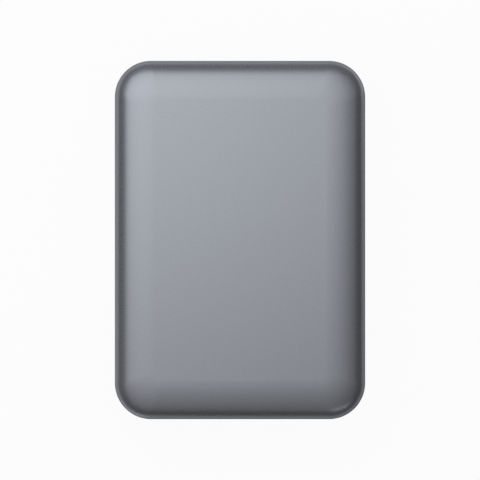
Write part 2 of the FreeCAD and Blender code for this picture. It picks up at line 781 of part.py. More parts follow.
def power_jack_pin():
    """Centre contact of the barrel jack, with a domed tip."""
    front = half_length - JACK_RECESS
    y = (front - JACK_DEPTH - JACK_PIN_ROOT, front - JACK_PIN_SHORT)
    pin = rod_along_y(JACK_X, y, jack_z, JACK_PIN_RADIUS)
    return pin.makeFillet(JACK_PIN_RADIUS * 0.6, [e for e in pin.Edges if abs(e.BoundBox.YMin - y[1]) < FIT])


def tongue_shapes(grow, y):
    """The two L-shaped contact tongues of a SATA plug, grown by a clearance, between two values of y."""
    whole = SIGNAL_TONGUE + TONGUE_SPACE + POWER_TONGUE
    left = SATA_X - whole / 2
    spans = ((left, left + POWER_TONGUE), (left + POWER_TONGUE + TONGUE_SPACE, left + whole))
    shapes = []
    for low, high in spans:
        z = about(sata_z, SATA_TONGUE_THICK + 2 * grow)
        blade = box((low - grow, high + grow), y, z)
        key = box((high - SATA_TONGUE_THICK - grow, high + grow), y, (z[0] - KEY_DROP, z[1]))
        shapes.append(joined([blade, key]))
    return shapes


def sata_plug():
    """The drive's own connector: a back wall, two guides and two L-shaped tongues."""
    back = drive_rear - SATA_DEPTH
    z = (board_top, board_top + SATA_SHELL_HEIGHT)
    wall = box(about(SATA_X, SATA_WIDTH), (back, back + SATA_BACK), z)
    guide_middle = (SATA_WIDTH - SATA_GUIDE) / 2
    guides = [
        box(about(SATA_X + side * guide_middle, SATA_GUIDE), (back, drive_rear), z) for side in (-1, 1)
    ]
    return joined([wall, *guides, *tongue_shapes(0, (back + SATA_BACK / 2, drive_rear - SATA_TONGUE_SHORT))])


def sata_receptacle():
    """Socket on the bridge board: a nose that enters the drive's connector and a block behind it."""
    start = drive_rear - SATA_DEPTH + SATA_BACK + SATA_TONGUE_SHORT
    face = drive_rear + SATA_TONGUE_SHORT
    nose_width = SATA_WIDTH - 2 * SATA_GUIDE - 2 * FIT
    nose = box(about(SATA_X, nose_width), (start, face), about(sata_z + FIT, NOSE_HEIGHT))
    block_z = (bridge_top, sata_z + NOSE_HEIGHT / 2 + FIT)
    block = box(about(SATA_X, SATA_WIDTH), (face, face + RECEPTACLE_DEPTH), block_z)
    return joined([nose, block]).cut(tongue_shapes(FIT, (start - 1, drive_rear)))


def chip(size, x, y, z):
    """Flat component with its middle at x and y, standing on a board."""
    body = box(about(x, size[0]), about(y, size[1]), (z, z + size[2]))
    return body.makeChamfer(CHIP_EDGE, flat_edges(body, z + size[2]))


def capacitor(x):
    """Electrolytic can with a groove rolled in above its base."""
    waist = CAPACITOR_RADIUS - CAPACITOR_GROOVE
    low = CAPACITOR_GROOVE_RISE
    high = low + 2 * CAPACITOR_GROOVE
    can = turned([(0, 0), (CAPACITOR_RADIUS, 0), (CAPACITOR_RADIUS, low), (waist, (low + high) / 2),
                  (CAPACITOR_RADIUS, high), (CAPACITOR_RADIUS, CAPACITOR_HEIGHT), (0, CAPACITOR_HEIGHT)])
    return placed(can, x, parts_y, z=bridge_top)


def io_shield():
    """Folded steel plate behind the ports, with two tabs under the board's screws."""
    y = (jack_face + FIT, jack_face + FIT + SHIELD_THICK)
    low = bridge_bottom - SHIELD_THICK
    plate = box((BRIDGE_LEFT, BRIDGE_RIGHT), y, (low, bridge_top + SHIELD_RISE))
    tab_y = (bridge_screw_y - SHIELD_TAB / 2, y[1])
    tabs = [box(about(x, SHIELD_TAB), tab_y, (low, bridge_bottom)) for x in bridge_screw_x]
    through = (y[0] - 1, y[1] + 1)
    holes = [port_shape(PORT_CLEAR, through)]
    holes.append(rod_along_y(JACK_X, through, jack_z, JACK_NOSE_RADIUS + PORT_CLEAR))
    holes.append(rod_along_y(LED_X, through, led_z, PIPE_RADIUS + FIT))
    holes += [rod(x, bridge_screw_y, (0, height), BRIDGE_SCREW_RADIUS + FIT) for x in bridge_screw_x]
    return joined([plate, *tabs]).cut(holes)


def light_pipe():
    """Clear rod from the light on the board to the outer face, with a flange behind the shield."""
    start = parts_y + LED_SIZE[1] / 2 + PIPE_GAP
    flange_end = jack_face
    stem = rod_along_y(LED_X, (start, half_length), led_z, PIPE_RADIUS)
    flange = rod_along_y(LED_X, (flange_end - PIPE_FLANGE, flange_end), led_z, PIPE_FLANGE_RADIUS)
    return joined([stem, flange])


def lid_screw_places():
    """Screws round the rim, then those into the spindle's and the pivot's shafts."""
    x = half_drive - LID_BOSS_INSET
    rows = (drive_front + LID_BOSS_INSET, spindle_y + MIDDLE_BOSS_OFFSET, drive_rear - LID_BOSS_INSET)
    rim = [(side * x, y) for y in rows for side in (-1, 1)]
    return rim + [(0, spindle_y), (PIVOT_X, pivot_y)]


def board_screw_places():
    """Screws that hold the controller board."""
    rows = (spindle_y, spindle_y + BOARD_SCREW_PITCH)
    pairs = [(side * BOARD_SCREW_SPREAD, y) for side in (-1, 1) for y in rows]
    return pairs + [(-SATA_X, drive_rear - SATA_DEPTH)]


def cavity(top, grow=0.0):
    """Room for the discs and the actuator above the casting's floor."""
    z = (floor_top, top)
    round_room = rod(0, spindle_y, z, cavity_radius + grow)
    bay = box((-bay_x - grow, bay_x + grow), (spindle_y, bay_rear + grow), z)
    return round_room.fuse(bay)


def drive_base():
    """Die-cast tub: cavity above, board recess with bosses below, side and bottom fixing holes."""
    block = slab(half_drive, DRIVE_LENGTH / 2, DRIVE_CORNER, (drive_z, rim_z), drive_mid)
    rail_x = half_drive - RAIL
    recess = box((-rail_x, rail_x), (drive_front + FRONT_BLOCK, drive_rear + 1), (drive_z - 1, floor_under))
    connector = box(about(SATA_X, SATA_WIDTH + 4 * FIT), (drive_rear - SATA_DEPTH - FIT, drive_rear + 1),
                    (drive_z, board_top + SATA_SHELL_HEIGHT + 2 * FIT))
    tub = block.cut([recess, connector, cavity(rim_z + 1)])
    rim_places = lid_screw_places()[:-2]
    bosses = [rod(x, y, (floor_top - 1, rim_z), LID_BOSS_RADIUS) for x, y in rim_places]
    bosses += [rod(x, y, (board_top, floor_under + 1), BOARD_BOSS_RADIUS) for x, y in board_screw_places()]
    bosses.append(rod(0, spindle_y, (drive_z + MOTOR_BOSS_LIFT, floor_under + 1), MOTOR_BOSS_RADIUS))
    bosses.append(rod(0, spindle_y, (floor_top - 1, stator_z), STATOR_RING))
    envelope = slab(half_drive, DRIVE_LENGTH / 2, DRIVE_CORNER, (drive_z, rim_z), drive_mid)
    tub = joined([tub, *[boss.common(envelope) for boss in bosses]])
    deep = LID_SCREW_LENGTH + 1
    holes = [rod(x, y, (rim_z - deep, rim_z + 1), LID_SCREW_RADIUS + FIT / 2) for x, y in rim_places]
    holes += [
        rod(x, y, (board_z, floor_under + CASTING_FLOOR / 2), BOARD_SCREW_RADIUS + FIT / 2)
        for x, y in board_screw_places()
    ]
    holes.append(rod(0, spindle_y, (floor_top - SHAFT_SEAT, floor_top + 1), SHAFT_RADIUS + RUNNING_CLEAR))
    holes.append(rod(0, spindle_y, (floor_top, stator_z + 1), STATOR_BORE))
    pivot_seat = (floor_top - PIVOT_SHAFT_SEAT, floor_top + 1)
    holes.append(rod(PIVOT_X, pivot_y, pivot_seat, PIVOT_SHAFT_RADIUS + RUNNING_CLEAR))
    side_hole = Part.makeCylinder(SIDE_HOLE_RADIUS, SIDE_HOLE_DEPTH + 1, point(0, 0, -SIDE_HOLE_DEPTH))
    rows = [*isolator_rows.values(), isolator_rows["rear"] - MIDDLE_SIDE_HOLE_PITCH]
    holes += [sideways(side_hole, side, y, isolator_z) for side in sides.values() for y in rows]
    under_rows = (drive_rear - UNDER_HOLE_FROM_REAR, drive_rear - UNDER_HOLE_FROM_REAR - UNDER_HOLE_PITCH)
    under_x = half_drive - RAIL / 2
    holes += [
        rod(side * under_x, y, (drive_z - 1, drive_z + UNDER_HOLE_DEPTH), UNDER_HOLE_RADIUS)
        for side in sides.values() for y in under_rows
    ]
    return without(tub, holes)


def drive_lid():
    """Stamped lid with a ring pressed in over the discs, a breather hole and a seat for each screw."""
    half_lid = (half_drive - LID_INSET, DRIVE_LENGTH / 2 - LID_INSET)
    lid = slab(*half_lid, DRIVE_CORNER, (lid_under, lid_top), drive_mid)
    ring = disc_radius - LID_STEP_FROM_RIM
    cutters = [tube(0, spindle_y, (lid_top - LID_STEP_DEPTH, lid_top + 1), ring - LID_STEP_WIDTH, ring)]
    breather = (BREATHER_FROM_SIDE - half_drive, drive_rear - BREATHER_FROM_REAR)
    cutters.append(rod(*breather, (lid_under - 1, lid_top + 1), BREATHER_RADIUS))
    for x, y in lid_screw_places():
        cutters.append(rod(x, y, (lid_top - LID_SCREW_SEAT, lid_top + 1), LID_SCREW_HEAD + FIT))
        cutters.append(rod(x, y, (lid_under - 1, lid_top), LID_SCREW_RADIUS + FIT))
    return without(lid, cutters)


def lid_gasket():
    """Flat seal on the casting's rim."""
    inset = LID_INSET + GASKET_INSET
    z = (rim_z, lid_under)
    sheet = slab(half_drive - inset, DRIVE_LENGTH / 2 - inset, DRIVE_CORNER, z, drive_mid)
    bosses = [rod(x, y, z, LID_BOSS_RADIUS - GASKET_INSET) for x, y in lid_screw_places()[:-2]]
    bosses = [boss.common(sheet) for boss in bosses]
    sheet = joined([sheet.cut(cavity(lid_under + 1, GASKET_INSET)), *bosses])
    return sheet.cut([rod(x, y, z, LID_SCREW_RADIUS + 2 * FIT) for x, y in lid_screw_places()[:-2]])


def lid_screw(x, y):
    """Flush screw through the lid."""
    seat = lid_top - LID_SCREW_SEAT
    return headed_screw(x, y, seat, LID_SCREW_RADIUS, LID_SCREW_LENGTH, LID_SCREW_HEAD, LID_SCREW_SEAT)


def fixed_shaft(x, y, radius, seat):
    """Fixed shaft between the casting and the lid, tapped at its top for the lid's screw."""
    shaft = rod(x, y, (floor_top - seat, lid_under), radius)
    depth = LID_SCREW_LENGTH + 1
    return shaft.cut(rod(x, y, (lid_under - depth, lid_under + 1), LID_SCREW_RADIUS + FIT / 2))


def controller_board():
    """Board in the casting's recess, cut away round the motor."""
    board_x = half_drive - RAIL - BOARD_SIDE_GAP
    y = (spindle_y - BOARD_PAST_SPINDLE, drive_rear - BOARD_REAR_INSET)
    board = box((-board_x, board_x), y, (board_z, board_top))
    holes = [rod(x, y, (0, height), BOARD_SCREW_RADIUS + FIT) for x, y in board_screw_places()]
    holes.append(rod(0, spindle_y, (0, height), MOTOR_BOSS_RADIUS + BOARD_NOTCH_GAP))
    return board.cut(holes)


def controller_screw(x, y):
    """Low-headed screw driven from below through the controller board."""
    length = BOARD_THICK + UNDERSIDE_DEPTH / 2
    head = (BOARD_SCREW_HEAD, BOARD_SCREW_HEAD_HEIGHT)
    return headed_screw(x, y, board_z, BOARD_SCREW_RADIUS, length, *head, upwards=True)


def chip_row():
    """The controller board's chips by name, with their middles."""
    y = spindle_y + CHIP_FROM_SPINDLE
    spread = (MAIN_CHIP[0] + PAD_HALF_WIDTH) / 2
    return {
        "main_controller_chip": (MAIN_CHIP, 0, y),
        "cache_chip": (CACHE_CHIP, -spread, y),
        "motor_driver_chip": (DRIVER_CHIP, spread, y),
    }


def insulator_pad():
    """Foam sheet between the chips and the casting."""
    middle = spindle_y + CHIP_FROM_SPINDLE
    low = board_top + MAIN_CHIP[2]
    return box((-PAD_HALF_WIDTH, PAD_HALF_WIDTH), about(middle, PAD_LENGTH), (low, floor_under))


def spindle_hub():
    """Rotor hub: sleeve on the shaft, motor room below, flange under the discs and barrel through them."""
    low = floor_top + HUB_LIFT
    barrel = PLATTER_BORE - HUB_CLEAR
    sleeve = SHAFT_RADIUS + RUNNING_CLEAR
    hub = turned([
        (sleeve, low),
        (SLEEVE_RADIUS, low),
        (SLEEVE_RADIUS, motor_ceiling),
        (ROTOR_BORE, motor_ceiling),
        (ROTOR_BORE, low),
        (barrel, low),
        (barrel, platter_z - HUB_FLANGE),
        (HUB_FLANGE_RADIUS, platter_z - HUB_FLANGE),
        (HUB_FLANGE_RADIUS, platter_z),
        (barrel, platter_z),
        (barrel, hub_top),
        (sleeve, hub_top),
    ])
    depth = (stack_top - CLAMP_SCREW_LENGTH, hub_top + 1)
    holes = [rod(x, y, depth, CLAMP_SCREW_RADIUS + HUB_CLEAR) for x, y in clamp_screw_places()]
    return placed(hub.cut(holes), 0, spindle_y)


def clamp_screw_places():
    """Circle of clamp screws about the origin."""
    angles = [2 * math.pi * k / CLAMP_SCREWS for k in range(CLAMP_SCREWS)]
    return [(CLAMP_SCREW_CIRCLE * math.cos(a), CLAMP_SCREW_CIRCLE * math.sin(a)) for a in angles]


def disc_clamp():
    """Round plate that presses the discs on to the hub."""
    z = (stack_top, stack_top + CLAMP_THICK)
    plate = tube(0, 0, z, CLAMP_BORE, HUB_FLANGE_RADIUS)
    rim = [e for e in flat_edges(plate, z[1]) if e.Curve.Radius > PLATTER_BORE]
    plate = plate.makeChamfer(CLAMP_THICK / 3, rim)
    holes = [rod(x, y, z, CLAMP_SCREW_RADIUS + FIT) for x, y in clamp_screw_places()]
    return placed(plate.cut(holes), 0, spindle_y)


def clamp_screw(x, y):
    """Small screw through the clamp into the hub."""
    seat = stack_top + CLAMP_THICK
    return headed_screw(x, y + spindle_y, seat, CLAMP_SCREW_RADIUS, CLAMP_SCREW_LENGTH, CLAMP_SCREW_HEAD,
                        CLAMP_SCREW_HEAD_HEIGHT)


def stator_tooth(grow, reach):
    """Bar of one stator tooth along +X, grown by a clearance."""
    return box(reach, about(0, TOOTH_WIDTH + 2 * grow), (stator_z - grow, stator_top + grow))


def stator_angles():
    """Direction of each stator tooth, in degrees."""
    return [360 * k / STATOR_TEETH for k in range(STATOR_TEETH)]


def stator_core():
    """Laminated ring with T-shaped teeth."""
    ring = tube(0, 0, (stator_z, stator_top), STATOR_BORE, STATOR_RING)
    tip_angle = 0.3 * 360 / STATOR_TEETH
    tip = sector((STATOR_RADIUS - TOOTH_TIP, STATOR_RADIUS), (-tip_angle, tip_angle), (stator_z, stator_top))
    middle = (STATOR_BORE + STATOR_RING) / 2
    tooth = stator_tooth(0, (middle, STATOR_RADIUS - TOOTH_TIP / 2)).fuse(tip)
    return placed(joined([ring, *[placed(tooth, 0, 0, angle) for angle in stator_angles()]]), 0, spindle_y)


def stator_coil(angle):
    """Winding round one tooth."""
    reach = (STATOR_RING + FIT, STATOR_RADIUS - TOOTH_TIP - FIT)
    z = (stator_z - COIL_WRAP, stator_top + COIL_WRAP)
    winding = box(reach, about(0, COIL_WIDTH), z).cut(stator_tooth(FIT / 2, (0, STATOR_RADIUS)))
    return placed(winding, 0, spindle_y, angle)


def actuator_arm():
    """One-piece arm block: hub, one blade for each gap in the stack and a fork that holds the coil."""
    half = ARM_THICK / 2
    hub = rod(0, 0, (arm_levels[0] - half, arm_levels[-1] + half), ARM_HUB_RADIUS)
    root = ARM_ROOT_WIDTH / 2
    outline_points = [(0, -root), (ARM_LENGTH, -ARM_TIP_RADIUS), (ARM_LENGTH, ARM_TIP_RADIUS), (0, root)]
    pieces = [hub]
    for level in arm_levels:
        z = (level - half, level + half)
        blade = polygon(outline_points, z).fuse(rod(ARM_LENGTH, 0, z, ARM_TIP_RADIUS))
        pieces.append(blade.cut(rod(ARM_HOLE_AT, 0, z, ARM_HOLE_RADIUS)))
    fork_z = about(arm_middle, COIL_THICK)
    for side in (-1, 1):
        y = sorted((side * FIT, side * (FIT + FORK_WIDTH)))
        leg = box((BEARING_RADIUS, COIL_OUTER - FORK_SHORT), y, fork_z)
        pieces.append(placed(leg, 0, 0, 180 + side * COIL_HALF_ANGLE))
    block = joined(pieces).cut(rod(0, 0, (floor_top, lid_under), BEARING_RADIUS + RUNNING_CLEAR))
    return placed(block, PIVOT_X, pivot_y, arm_angle)


def pivot_bearing():
    """Bearing cartridge that carries the arm on the pivot's shaft."""
    half = ARM_THICK / 2
    z = (arm_levels[0] - half, arm_levels[-1] + half)
    return tube(PIVOT_X, pivot_y, z, PIVOT_SHAFT_RADIUS + RUNNING_CLEAR, BEARING_RADIUS)


def voice_coil():
    """Flat coil between the fork's legs."""
    z = about(arm_middle, COIL_THICK)
    winding = sector((COIL_INNER, COIL_OUTER), (-COIL_HALF_ANGLE, COIL_HALF_ANGLE), z)
    window = sector((COIL_INNER + COIL_WINDING, COIL_OUTER - COIL_WINDING),
                    (-COIL_WINDOW_HALF_ANGLE, COIL_WINDOW_HALF_ANGLE), z)
    return placed(winding.cut(window), PIVOT_X, pivot_y, coil_angle)


def yoke_angles():
    """Directions that the yokes span, so that the coil stays between them over its swing."""
    spare = COIL_HALF_ANGLE + YOKE_OVERLAP
    return coil_angle - spare, coil_angle + swing + spare


def coil_faces(side):
    """Heights of a magnet and of its yoke, above (1) or below (-1) the coil."""
    near = arm_middle + side * (COIL_THICK / 2 + COIL_AIR_GAP)
    far = near + side * MAGNET_THICK
    return sorted((near, far)), sorted((far, far + side * YOKE_THICK))


def magnet(side):
    """Flat magnet on the face of a yoke."""
    start, end = yoke_angles()
    shape = sector((YOKE_INNER + MAGNET_INSET, COIL_OUTER), (start + YOKE_POST_INSET, end - YOKE_POST_INSET),
                   coil_faces(side)[0])
    return placed(shape, PIVOT_X, pivot_y)


def yoke(side):
    """Steel plate behind a magnet; the lower one stands on the floor and has posts for the upper one."""
    start, end = yoke_angles()
    z = coil_faces(side)[1]
    plate = sector((YOKE_INNER, YOKE_OUTER), (start, end), z)
    if side > 0:
        return placed(plate, PIVOT_X, pivot_y)
    radius = YOKE_OUTER - YOKE_POST_RADIUS - FIT
    feet = []
    for angle in (start + YOKE_POST_INSET, (start + end) / 2, end - YOKE_POST_INSET):
        x = radius * math.cos(math.radians(angle))
        y = radius * math.sin(math.radians(angle))
        feet.append(rod(x, y, (floor_top, coil_faces(1)[1][0]), YOKE_POST_RADIUS))
    return placed(joined([plate, *feet]), PIVOT_X, pivot_y)


def head_gimbal(level, facing):
    """Thin load beam on an arm's face, with a slider towards the disc and a lift tab at its tip."""
    face = level + facing * ARM_THICK / 2
    z = sorted((face, face + facing * GIMBAL_THICK))
    end = arm_reach + SLIDER_LENGTH
    root = GIMBAL_ROOT_WIDTH / 2
    tip = GIMBAL_TIP_WIDTH / 2
    beam = polygon([(GIMBAL_START, -root), (ARM_LENGTH, -root), (end, -tip), (end, tip), (ARM_LENGTH, root),
                    (GIMBAL_START, root)], z)
    tab = box((end - TAB_WIDTH, end + TAB_LENGTH), about(0, TAB_WIDTH), z)
    outer = face + facing * GIMBAL_THICK
    slider_z = sorted((outer, outer + facing * SLIDER_THICK))
    slider = box(about(arm_reach, SLIDER_LENGTH), about(0, SLIDER_WIDTH), slider_z)
    return placed(joined([beam, tab, slider]), PIVOT_X, pivot_y, arm_angle)


def head_gimbals():
    """A head for each face of each disc."""
    upward = [head_gimbal(level, 1) for level in arm_levels[:-1]]
    return upward + [head_gimbal(level, -1) for level in arm_levels[1:]]


def parking_ramp():
    """Comb beside the discs: each finger lies between the lift tabs of one arm."""
    start = arm_reach + SLIDER_LENGTH + FIT
    spine_start = arm_reach + SLIDER_LENGTH + TAB_LENGTH + RAMP_FINGER_GAP
    top = arm_levels[-1] + RAMP_FINGER_THICK / 2
    pieces = [sector((spine_start, spine_start + RAMP_SPINE), RAMP_SPINE_ANGLES, (floor_top, top))]
    for level in arm_levels:
        z = about(level, RAMP_FINGER_THICK)
        finger = sector((start, spine_start), RAMP_FINGER_ANGLES, z)
        bridge = sector((spine_start - RAMP_FINGER_GAP, spine_start + RAMP_SPINE / 2), RAMP_SPINE_ANGLES, z)
        pieces += [finger, bridge]
    return placed(joined(pieces), PIVOT_X, pivot_y, arm_angle)


def flex_start():
    """Point where the flexible circuit meets the arm's hub, square to the arm."""
    angle = math.radians(arm_angle - 90)
    radius = ARM_HUB_RADIUS + FLEX_GAP
    return PIVOT_X + radius * math.cos(angle), pivot_y + radius * math.sin(angle)


def flex_cable():
    """Flexible circuit: a half loop of thin strip from the arm's hub to its bracket."""
    x, y = flex_start()
    z = about(arm_middle, FLEX_HEIGHT)
    return placed(sector((FLEX_LOOP - FLEX_THICK, FLEX_LOOP), (0, 180), z), x - FLEX_LOOP + FLEX_THICK, y)


def flex_bracket():
    """Moulded angle that holds the flexible circuit's fixed end: a foot, a wall and a web between them."""
    x, y = flex_start()
    right = x - 2 * FLEX_LOOP + FLEX_THICK
    width, depth, tall = FLEX_BRACKET
    left = right - width
    inner = right - BRACKET_WALL
    foot_top = floor_top + BRACKET_WALL
    angle = [(left, floor_top), (right, floor_top), (right, floor_top + tall), (inner, floor_top + tall),
             (inner, foot_top), (left, foot_top)]
    web = [(inner - width / 2, foot_top), (inner, foot_top), (inner, floor_top + BRACKET_WEB_RISE)]
    return joined([profile_along_y(angle, about(y, depth)), profile_along_y(web, about(y, BRACKET_WALL / 2))])


def crash_stop(side, limit):
    """Rubber post that the coil's fork meets just beyond one end of the arm's swing."""
    beside = FIT + FORK_WIDTH + CRASH_STOP_GAP + CRASH_STOP_RADIUS
    lead = COIL_HALF_ANGLE + math.degrees(math.asin(beside / CRASH_STOP_AT))
    angle = math.radians(coil_angle + limit + side * lead)
    top = arm_middle + COIL_THICK / 2
    round_off = CRASH_STOP_RADIUS / 4
    foot_top = floor_top + CRASH_STOP_FOOT_HEIGHT
    post = turned([
        (0, floor_top),
        (CRASH_STOP_FOOT, floor_top),
        (CRASH_STOP_FOOT, foot_top - round_off),
        (CRASH_STOP_RADIUS, foot_top),
        (CRASH_STOP_RADIUS, top - round_off),
        (CRASH_STOP_RADIUS - round_off, top),
        (0, top),
    ])
    return placed(post, PIVOT_X + CRASH_STOP_AT * math.cos(angle), pivot_y + CRASH_STOP_AT * math.sin(angle))


def recirculation_filter():
    """Small pad that cleans the air the discs carry round."""
    width, depth, tall = FILTER_SIZE
    x = -bay_x + FILTER_INSET
    pad = box((x, x + width), about(drive_rear - FILTER_FROM_REAR, depth), (floor_top, floor_top + tall))
    return pad.makeFillet(FILTER_CORNER, [e for e in pad.Edges if e.BoundBox.ZLength > depth])


def save_enclosure():
    save("top_cover", top_cover())
    save("base_cover", base_cover())
    for name, (x, y) in foot_places().items():
        save(name, foot(x, y))
    screws = []
    for row, y in isolator_rows.items():
        for side, sign in sides.items():
            save("isolator_" + row + "_" + side, sideways(isolator(), sign, y, isolator_z))
            screws.append(sideways(isolator_screw(), sign, y, isolator_z))
    save("isolator_screws", *screws)
    save("light_pipe", light_pipe())


def save_bridge():
    save("bridge_board", bridge_board())
    save("usb_shell", usb_shell())
    save("usb_tongue", usb_tongue())
    save("power_jack_body", power_jack_body())
    save("power_jack_pin", power_jack_pin())
    save("sata_receptacle", sata_receptacle())
    save("bridge_chip", chip(BRIDGE_CHIP, BRIDGE_CHIP_X, parts_y, bridge_top))
    save("bridge_capacitors", *[capacitor(x) for x in CAPACITOR_X])
    save("status_led", chip(LED_SIZE, LED_X, parts_y, bridge_top))
    shank = (BRIDGE_SCREW_RADIUS, BRIDGE_SCREW_LENGTH)
    head = (BRIDGE_SCREW_HEAD, BRIDGE_SCREW_HEAD_HEIGHT)
    screws = [headed_screw(x, bridge_screw_y, bridge_top, *shank, *head) for x in bridge_screw_x]
    save("bridge_screws", *screws)
    save("io_shield", io_shield())


def save_drive_housing():
    save("drive_base", drive_base())
    save("drive_lid", drive_lid())
    save("lid_gasket", lid_gasket())
    save("lid_screws", *[lid_screw(x, y) for x, y in lid_screw_places()])
    save("controller_board", controller_board())
    save("controller_screws", *[controller_screw(x, y) for x, y in board_screw_places()])
    save("sata_plug", sata_plug())
    for name, (size, x, y) in chip_row().items():
        save(name, chip(size, x, y, board_top))
    save("insulator_pad", insulator_pad())


def save_spindle():
    save("spindle_shaft", fixed_shaft(0, spindle_y, SHAFT_RADIUS, SHAFT_SEAT))
    save("stator_core", stator_core())
    save("stator_coils", *[stator_coil(angle) for angle in stator_angles()])
    save("spindle_hub", spindle_hub())
    magnet_z = (stator_z, stator_top)
    save("rotor_magnet", tube(0, spindle_y, magnet_z, ROTOR_BORE - ROTOR_MAGNET_THICK, ROTOR_BORE))
    for k in range(PLATTER_COUNT):
        low = platter_z + k * platter_pitch
        high = low + PLATTER_THICK
        save("platter_" + str(k + 1), tube(0, spindle_y, (low, high), PLATTER_BORE, disc_radius))
        if k < PLATTER_COUNT - 1:
            ring = tube(0, spindle_y, (high, high + SPACER_THICK), PLATTER_BORE, SPACER_RADIUS)
            save("spacer_" + str(k + 1), ring)
    save("disc_clamp", disc_clamp())
    save("clamp_screws", *[clamp_screw(x, y) for x, y in clamp_screw_places()])


def save_actuator():
    save("pivot_shaft", fixed_shaft(PIVOT_X, pivot_y, PIVOT_SHAFT_RADIUS, PIVOT_SHAFT_SEAT))
    for name, side in (("lower", -1), ("upper", 1)):
        save(name + "_yoke", yoke(side))
        save(name + "_magnet", magnet(side))
    save("parking_ramp", parking_ramp())
    save("flex_bracket", flex_bracket())
    save("flex_cable", flex_cable())
    save("crash_stops", crash_stop(-1, 0), crash_stop(1, swing))
    save("recirculation_filter", recirculation_filter())
    save("actuator_arm", actuator_arm())
    save("pivot_bearing", pivot_bearing())
    save("voice_coil", voice_coil())
    save("head_gimbals", *head_gimbals())


os.makedirs("parts", exist_ok=True)
save_enclosure()
save_bridge()
save_drive_housing()
save_spindle()
save_actuator()
print("enclosure", round(2 * half_width, 2), "by", round(2 * half_length, 2), "by", round(height, 2))
print("actuator pivot at", round(PIVOT_X, 3), round(pivot_y, 3), "swing", round(swing, 2), "degrees")
print("spindle at 0", round(spindle_y, 3))
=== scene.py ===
# %% [markdown]
# # Dressing a desktop external hard drive
# The drive comes from its CAD model as a fixed frame: one object for each piece, in metres, already
# in place. Nothing is moved here. This file gives every piece its finish, adds the small things that
# a CAD model leaves out, and sets up the camera and the light of a product photograph.

# %% Load the frame
import json
from itertools import product
from math import atan2, cos, pi, radians
import bmesh
import bpy
from mathutils import Matrix, Vector


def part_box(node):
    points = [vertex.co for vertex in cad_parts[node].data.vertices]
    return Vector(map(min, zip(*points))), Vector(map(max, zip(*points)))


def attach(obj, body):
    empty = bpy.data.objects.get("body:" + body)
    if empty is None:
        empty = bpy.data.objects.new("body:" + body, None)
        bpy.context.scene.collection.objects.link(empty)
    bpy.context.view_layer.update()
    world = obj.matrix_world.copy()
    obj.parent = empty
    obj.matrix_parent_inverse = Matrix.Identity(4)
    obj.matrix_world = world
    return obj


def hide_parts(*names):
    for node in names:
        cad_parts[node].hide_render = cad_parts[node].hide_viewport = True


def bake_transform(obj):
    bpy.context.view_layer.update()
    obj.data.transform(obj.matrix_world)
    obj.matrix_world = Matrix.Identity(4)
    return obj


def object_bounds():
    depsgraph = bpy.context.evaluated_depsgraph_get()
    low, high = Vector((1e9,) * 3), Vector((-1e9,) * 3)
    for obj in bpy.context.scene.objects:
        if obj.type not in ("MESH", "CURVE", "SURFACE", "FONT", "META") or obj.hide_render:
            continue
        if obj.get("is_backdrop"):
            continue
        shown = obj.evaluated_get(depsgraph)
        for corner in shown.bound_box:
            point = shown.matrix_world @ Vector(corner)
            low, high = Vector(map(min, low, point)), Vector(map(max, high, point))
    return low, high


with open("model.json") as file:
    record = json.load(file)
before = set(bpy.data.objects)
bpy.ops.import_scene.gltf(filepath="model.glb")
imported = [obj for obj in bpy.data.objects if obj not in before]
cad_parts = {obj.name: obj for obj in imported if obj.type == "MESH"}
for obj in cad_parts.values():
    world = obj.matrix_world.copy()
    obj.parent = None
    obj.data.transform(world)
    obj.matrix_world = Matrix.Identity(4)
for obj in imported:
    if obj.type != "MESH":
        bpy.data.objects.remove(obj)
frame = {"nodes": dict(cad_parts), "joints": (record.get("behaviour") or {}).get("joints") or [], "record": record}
cad_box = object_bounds()
nodes = frame["nodes"]
record = frame["record"]
MM = 0.001
print(len(nodes), "pieces in a box of", [round(high - low, 4) for low, high in zip(*cad_box)])

# %% [markdown]
# ## The camera
# The photograph looks straight down on the drive, from far enough away that no side shows. A camera
# with no rotation already looks down, so it only has to be lifted above the middle. The framing could
# be found by trial, but the width of the outline in the picture fixes the lens, so it is worked out.
# The outline is widest where the wall ends and the rounded edge begins, so that height counts.

# %% Stand the camera over the drive
IMAGE_SIDE = 480
OUTLINE_PIXELS = 250.3
ROUND_START = 29.6 * MM
CAMERA_DISTANCE = 1.4
SENSOR = 36.0
FAR_CLIP = 50.0

width = cad_box[1][0] - cad_box[0][0]
pixel = width / OUTLINE_PIXELS
view = bpy.data.cameras.new("camera")
view.sensor_width = SENSOR
view.lens = SENSOR * CAMERA_DISTANCE / (IMAGE_SIDE * pixel)
view.clip_end = FAR_CLIP
camera = bpy.data.objects.new("camera", view)
bpy.context.collection.objects.link(camera)
camera.location = (0.0, 0.0, ROUND_START + CAMERA_DISTANCE)
bpy.context.scene.camera = camera
bpy.context.scene.view_settings.view_transform = "Standard"
print("lens", round(view.lens, 1), "mm, one pixel is", round(pixel / MM, 4), "mm")

# %% [markdown]
# ## Shader maths as plain expressions
# A material is a graph of nodes. Written out node by node it is hard to read, so one small class
# wraps an output socket: adding or multiplying two of them adds the Math node that does it. Every
# other kind of node comes from its one method, which takes the settings first and the sockets next.


# %% A socket that can be calculated with
def set_stops(curve, stops):
    """Puts stops, each a position and a grey level, on a ramp."""
    while len(curve.elements) < len(stops):
        curve.elements.new(1.0)
    for element, (position, level) in zip(curve.elements, stops):
        element.position = position
        element.color = (level, level, level, 1.0)


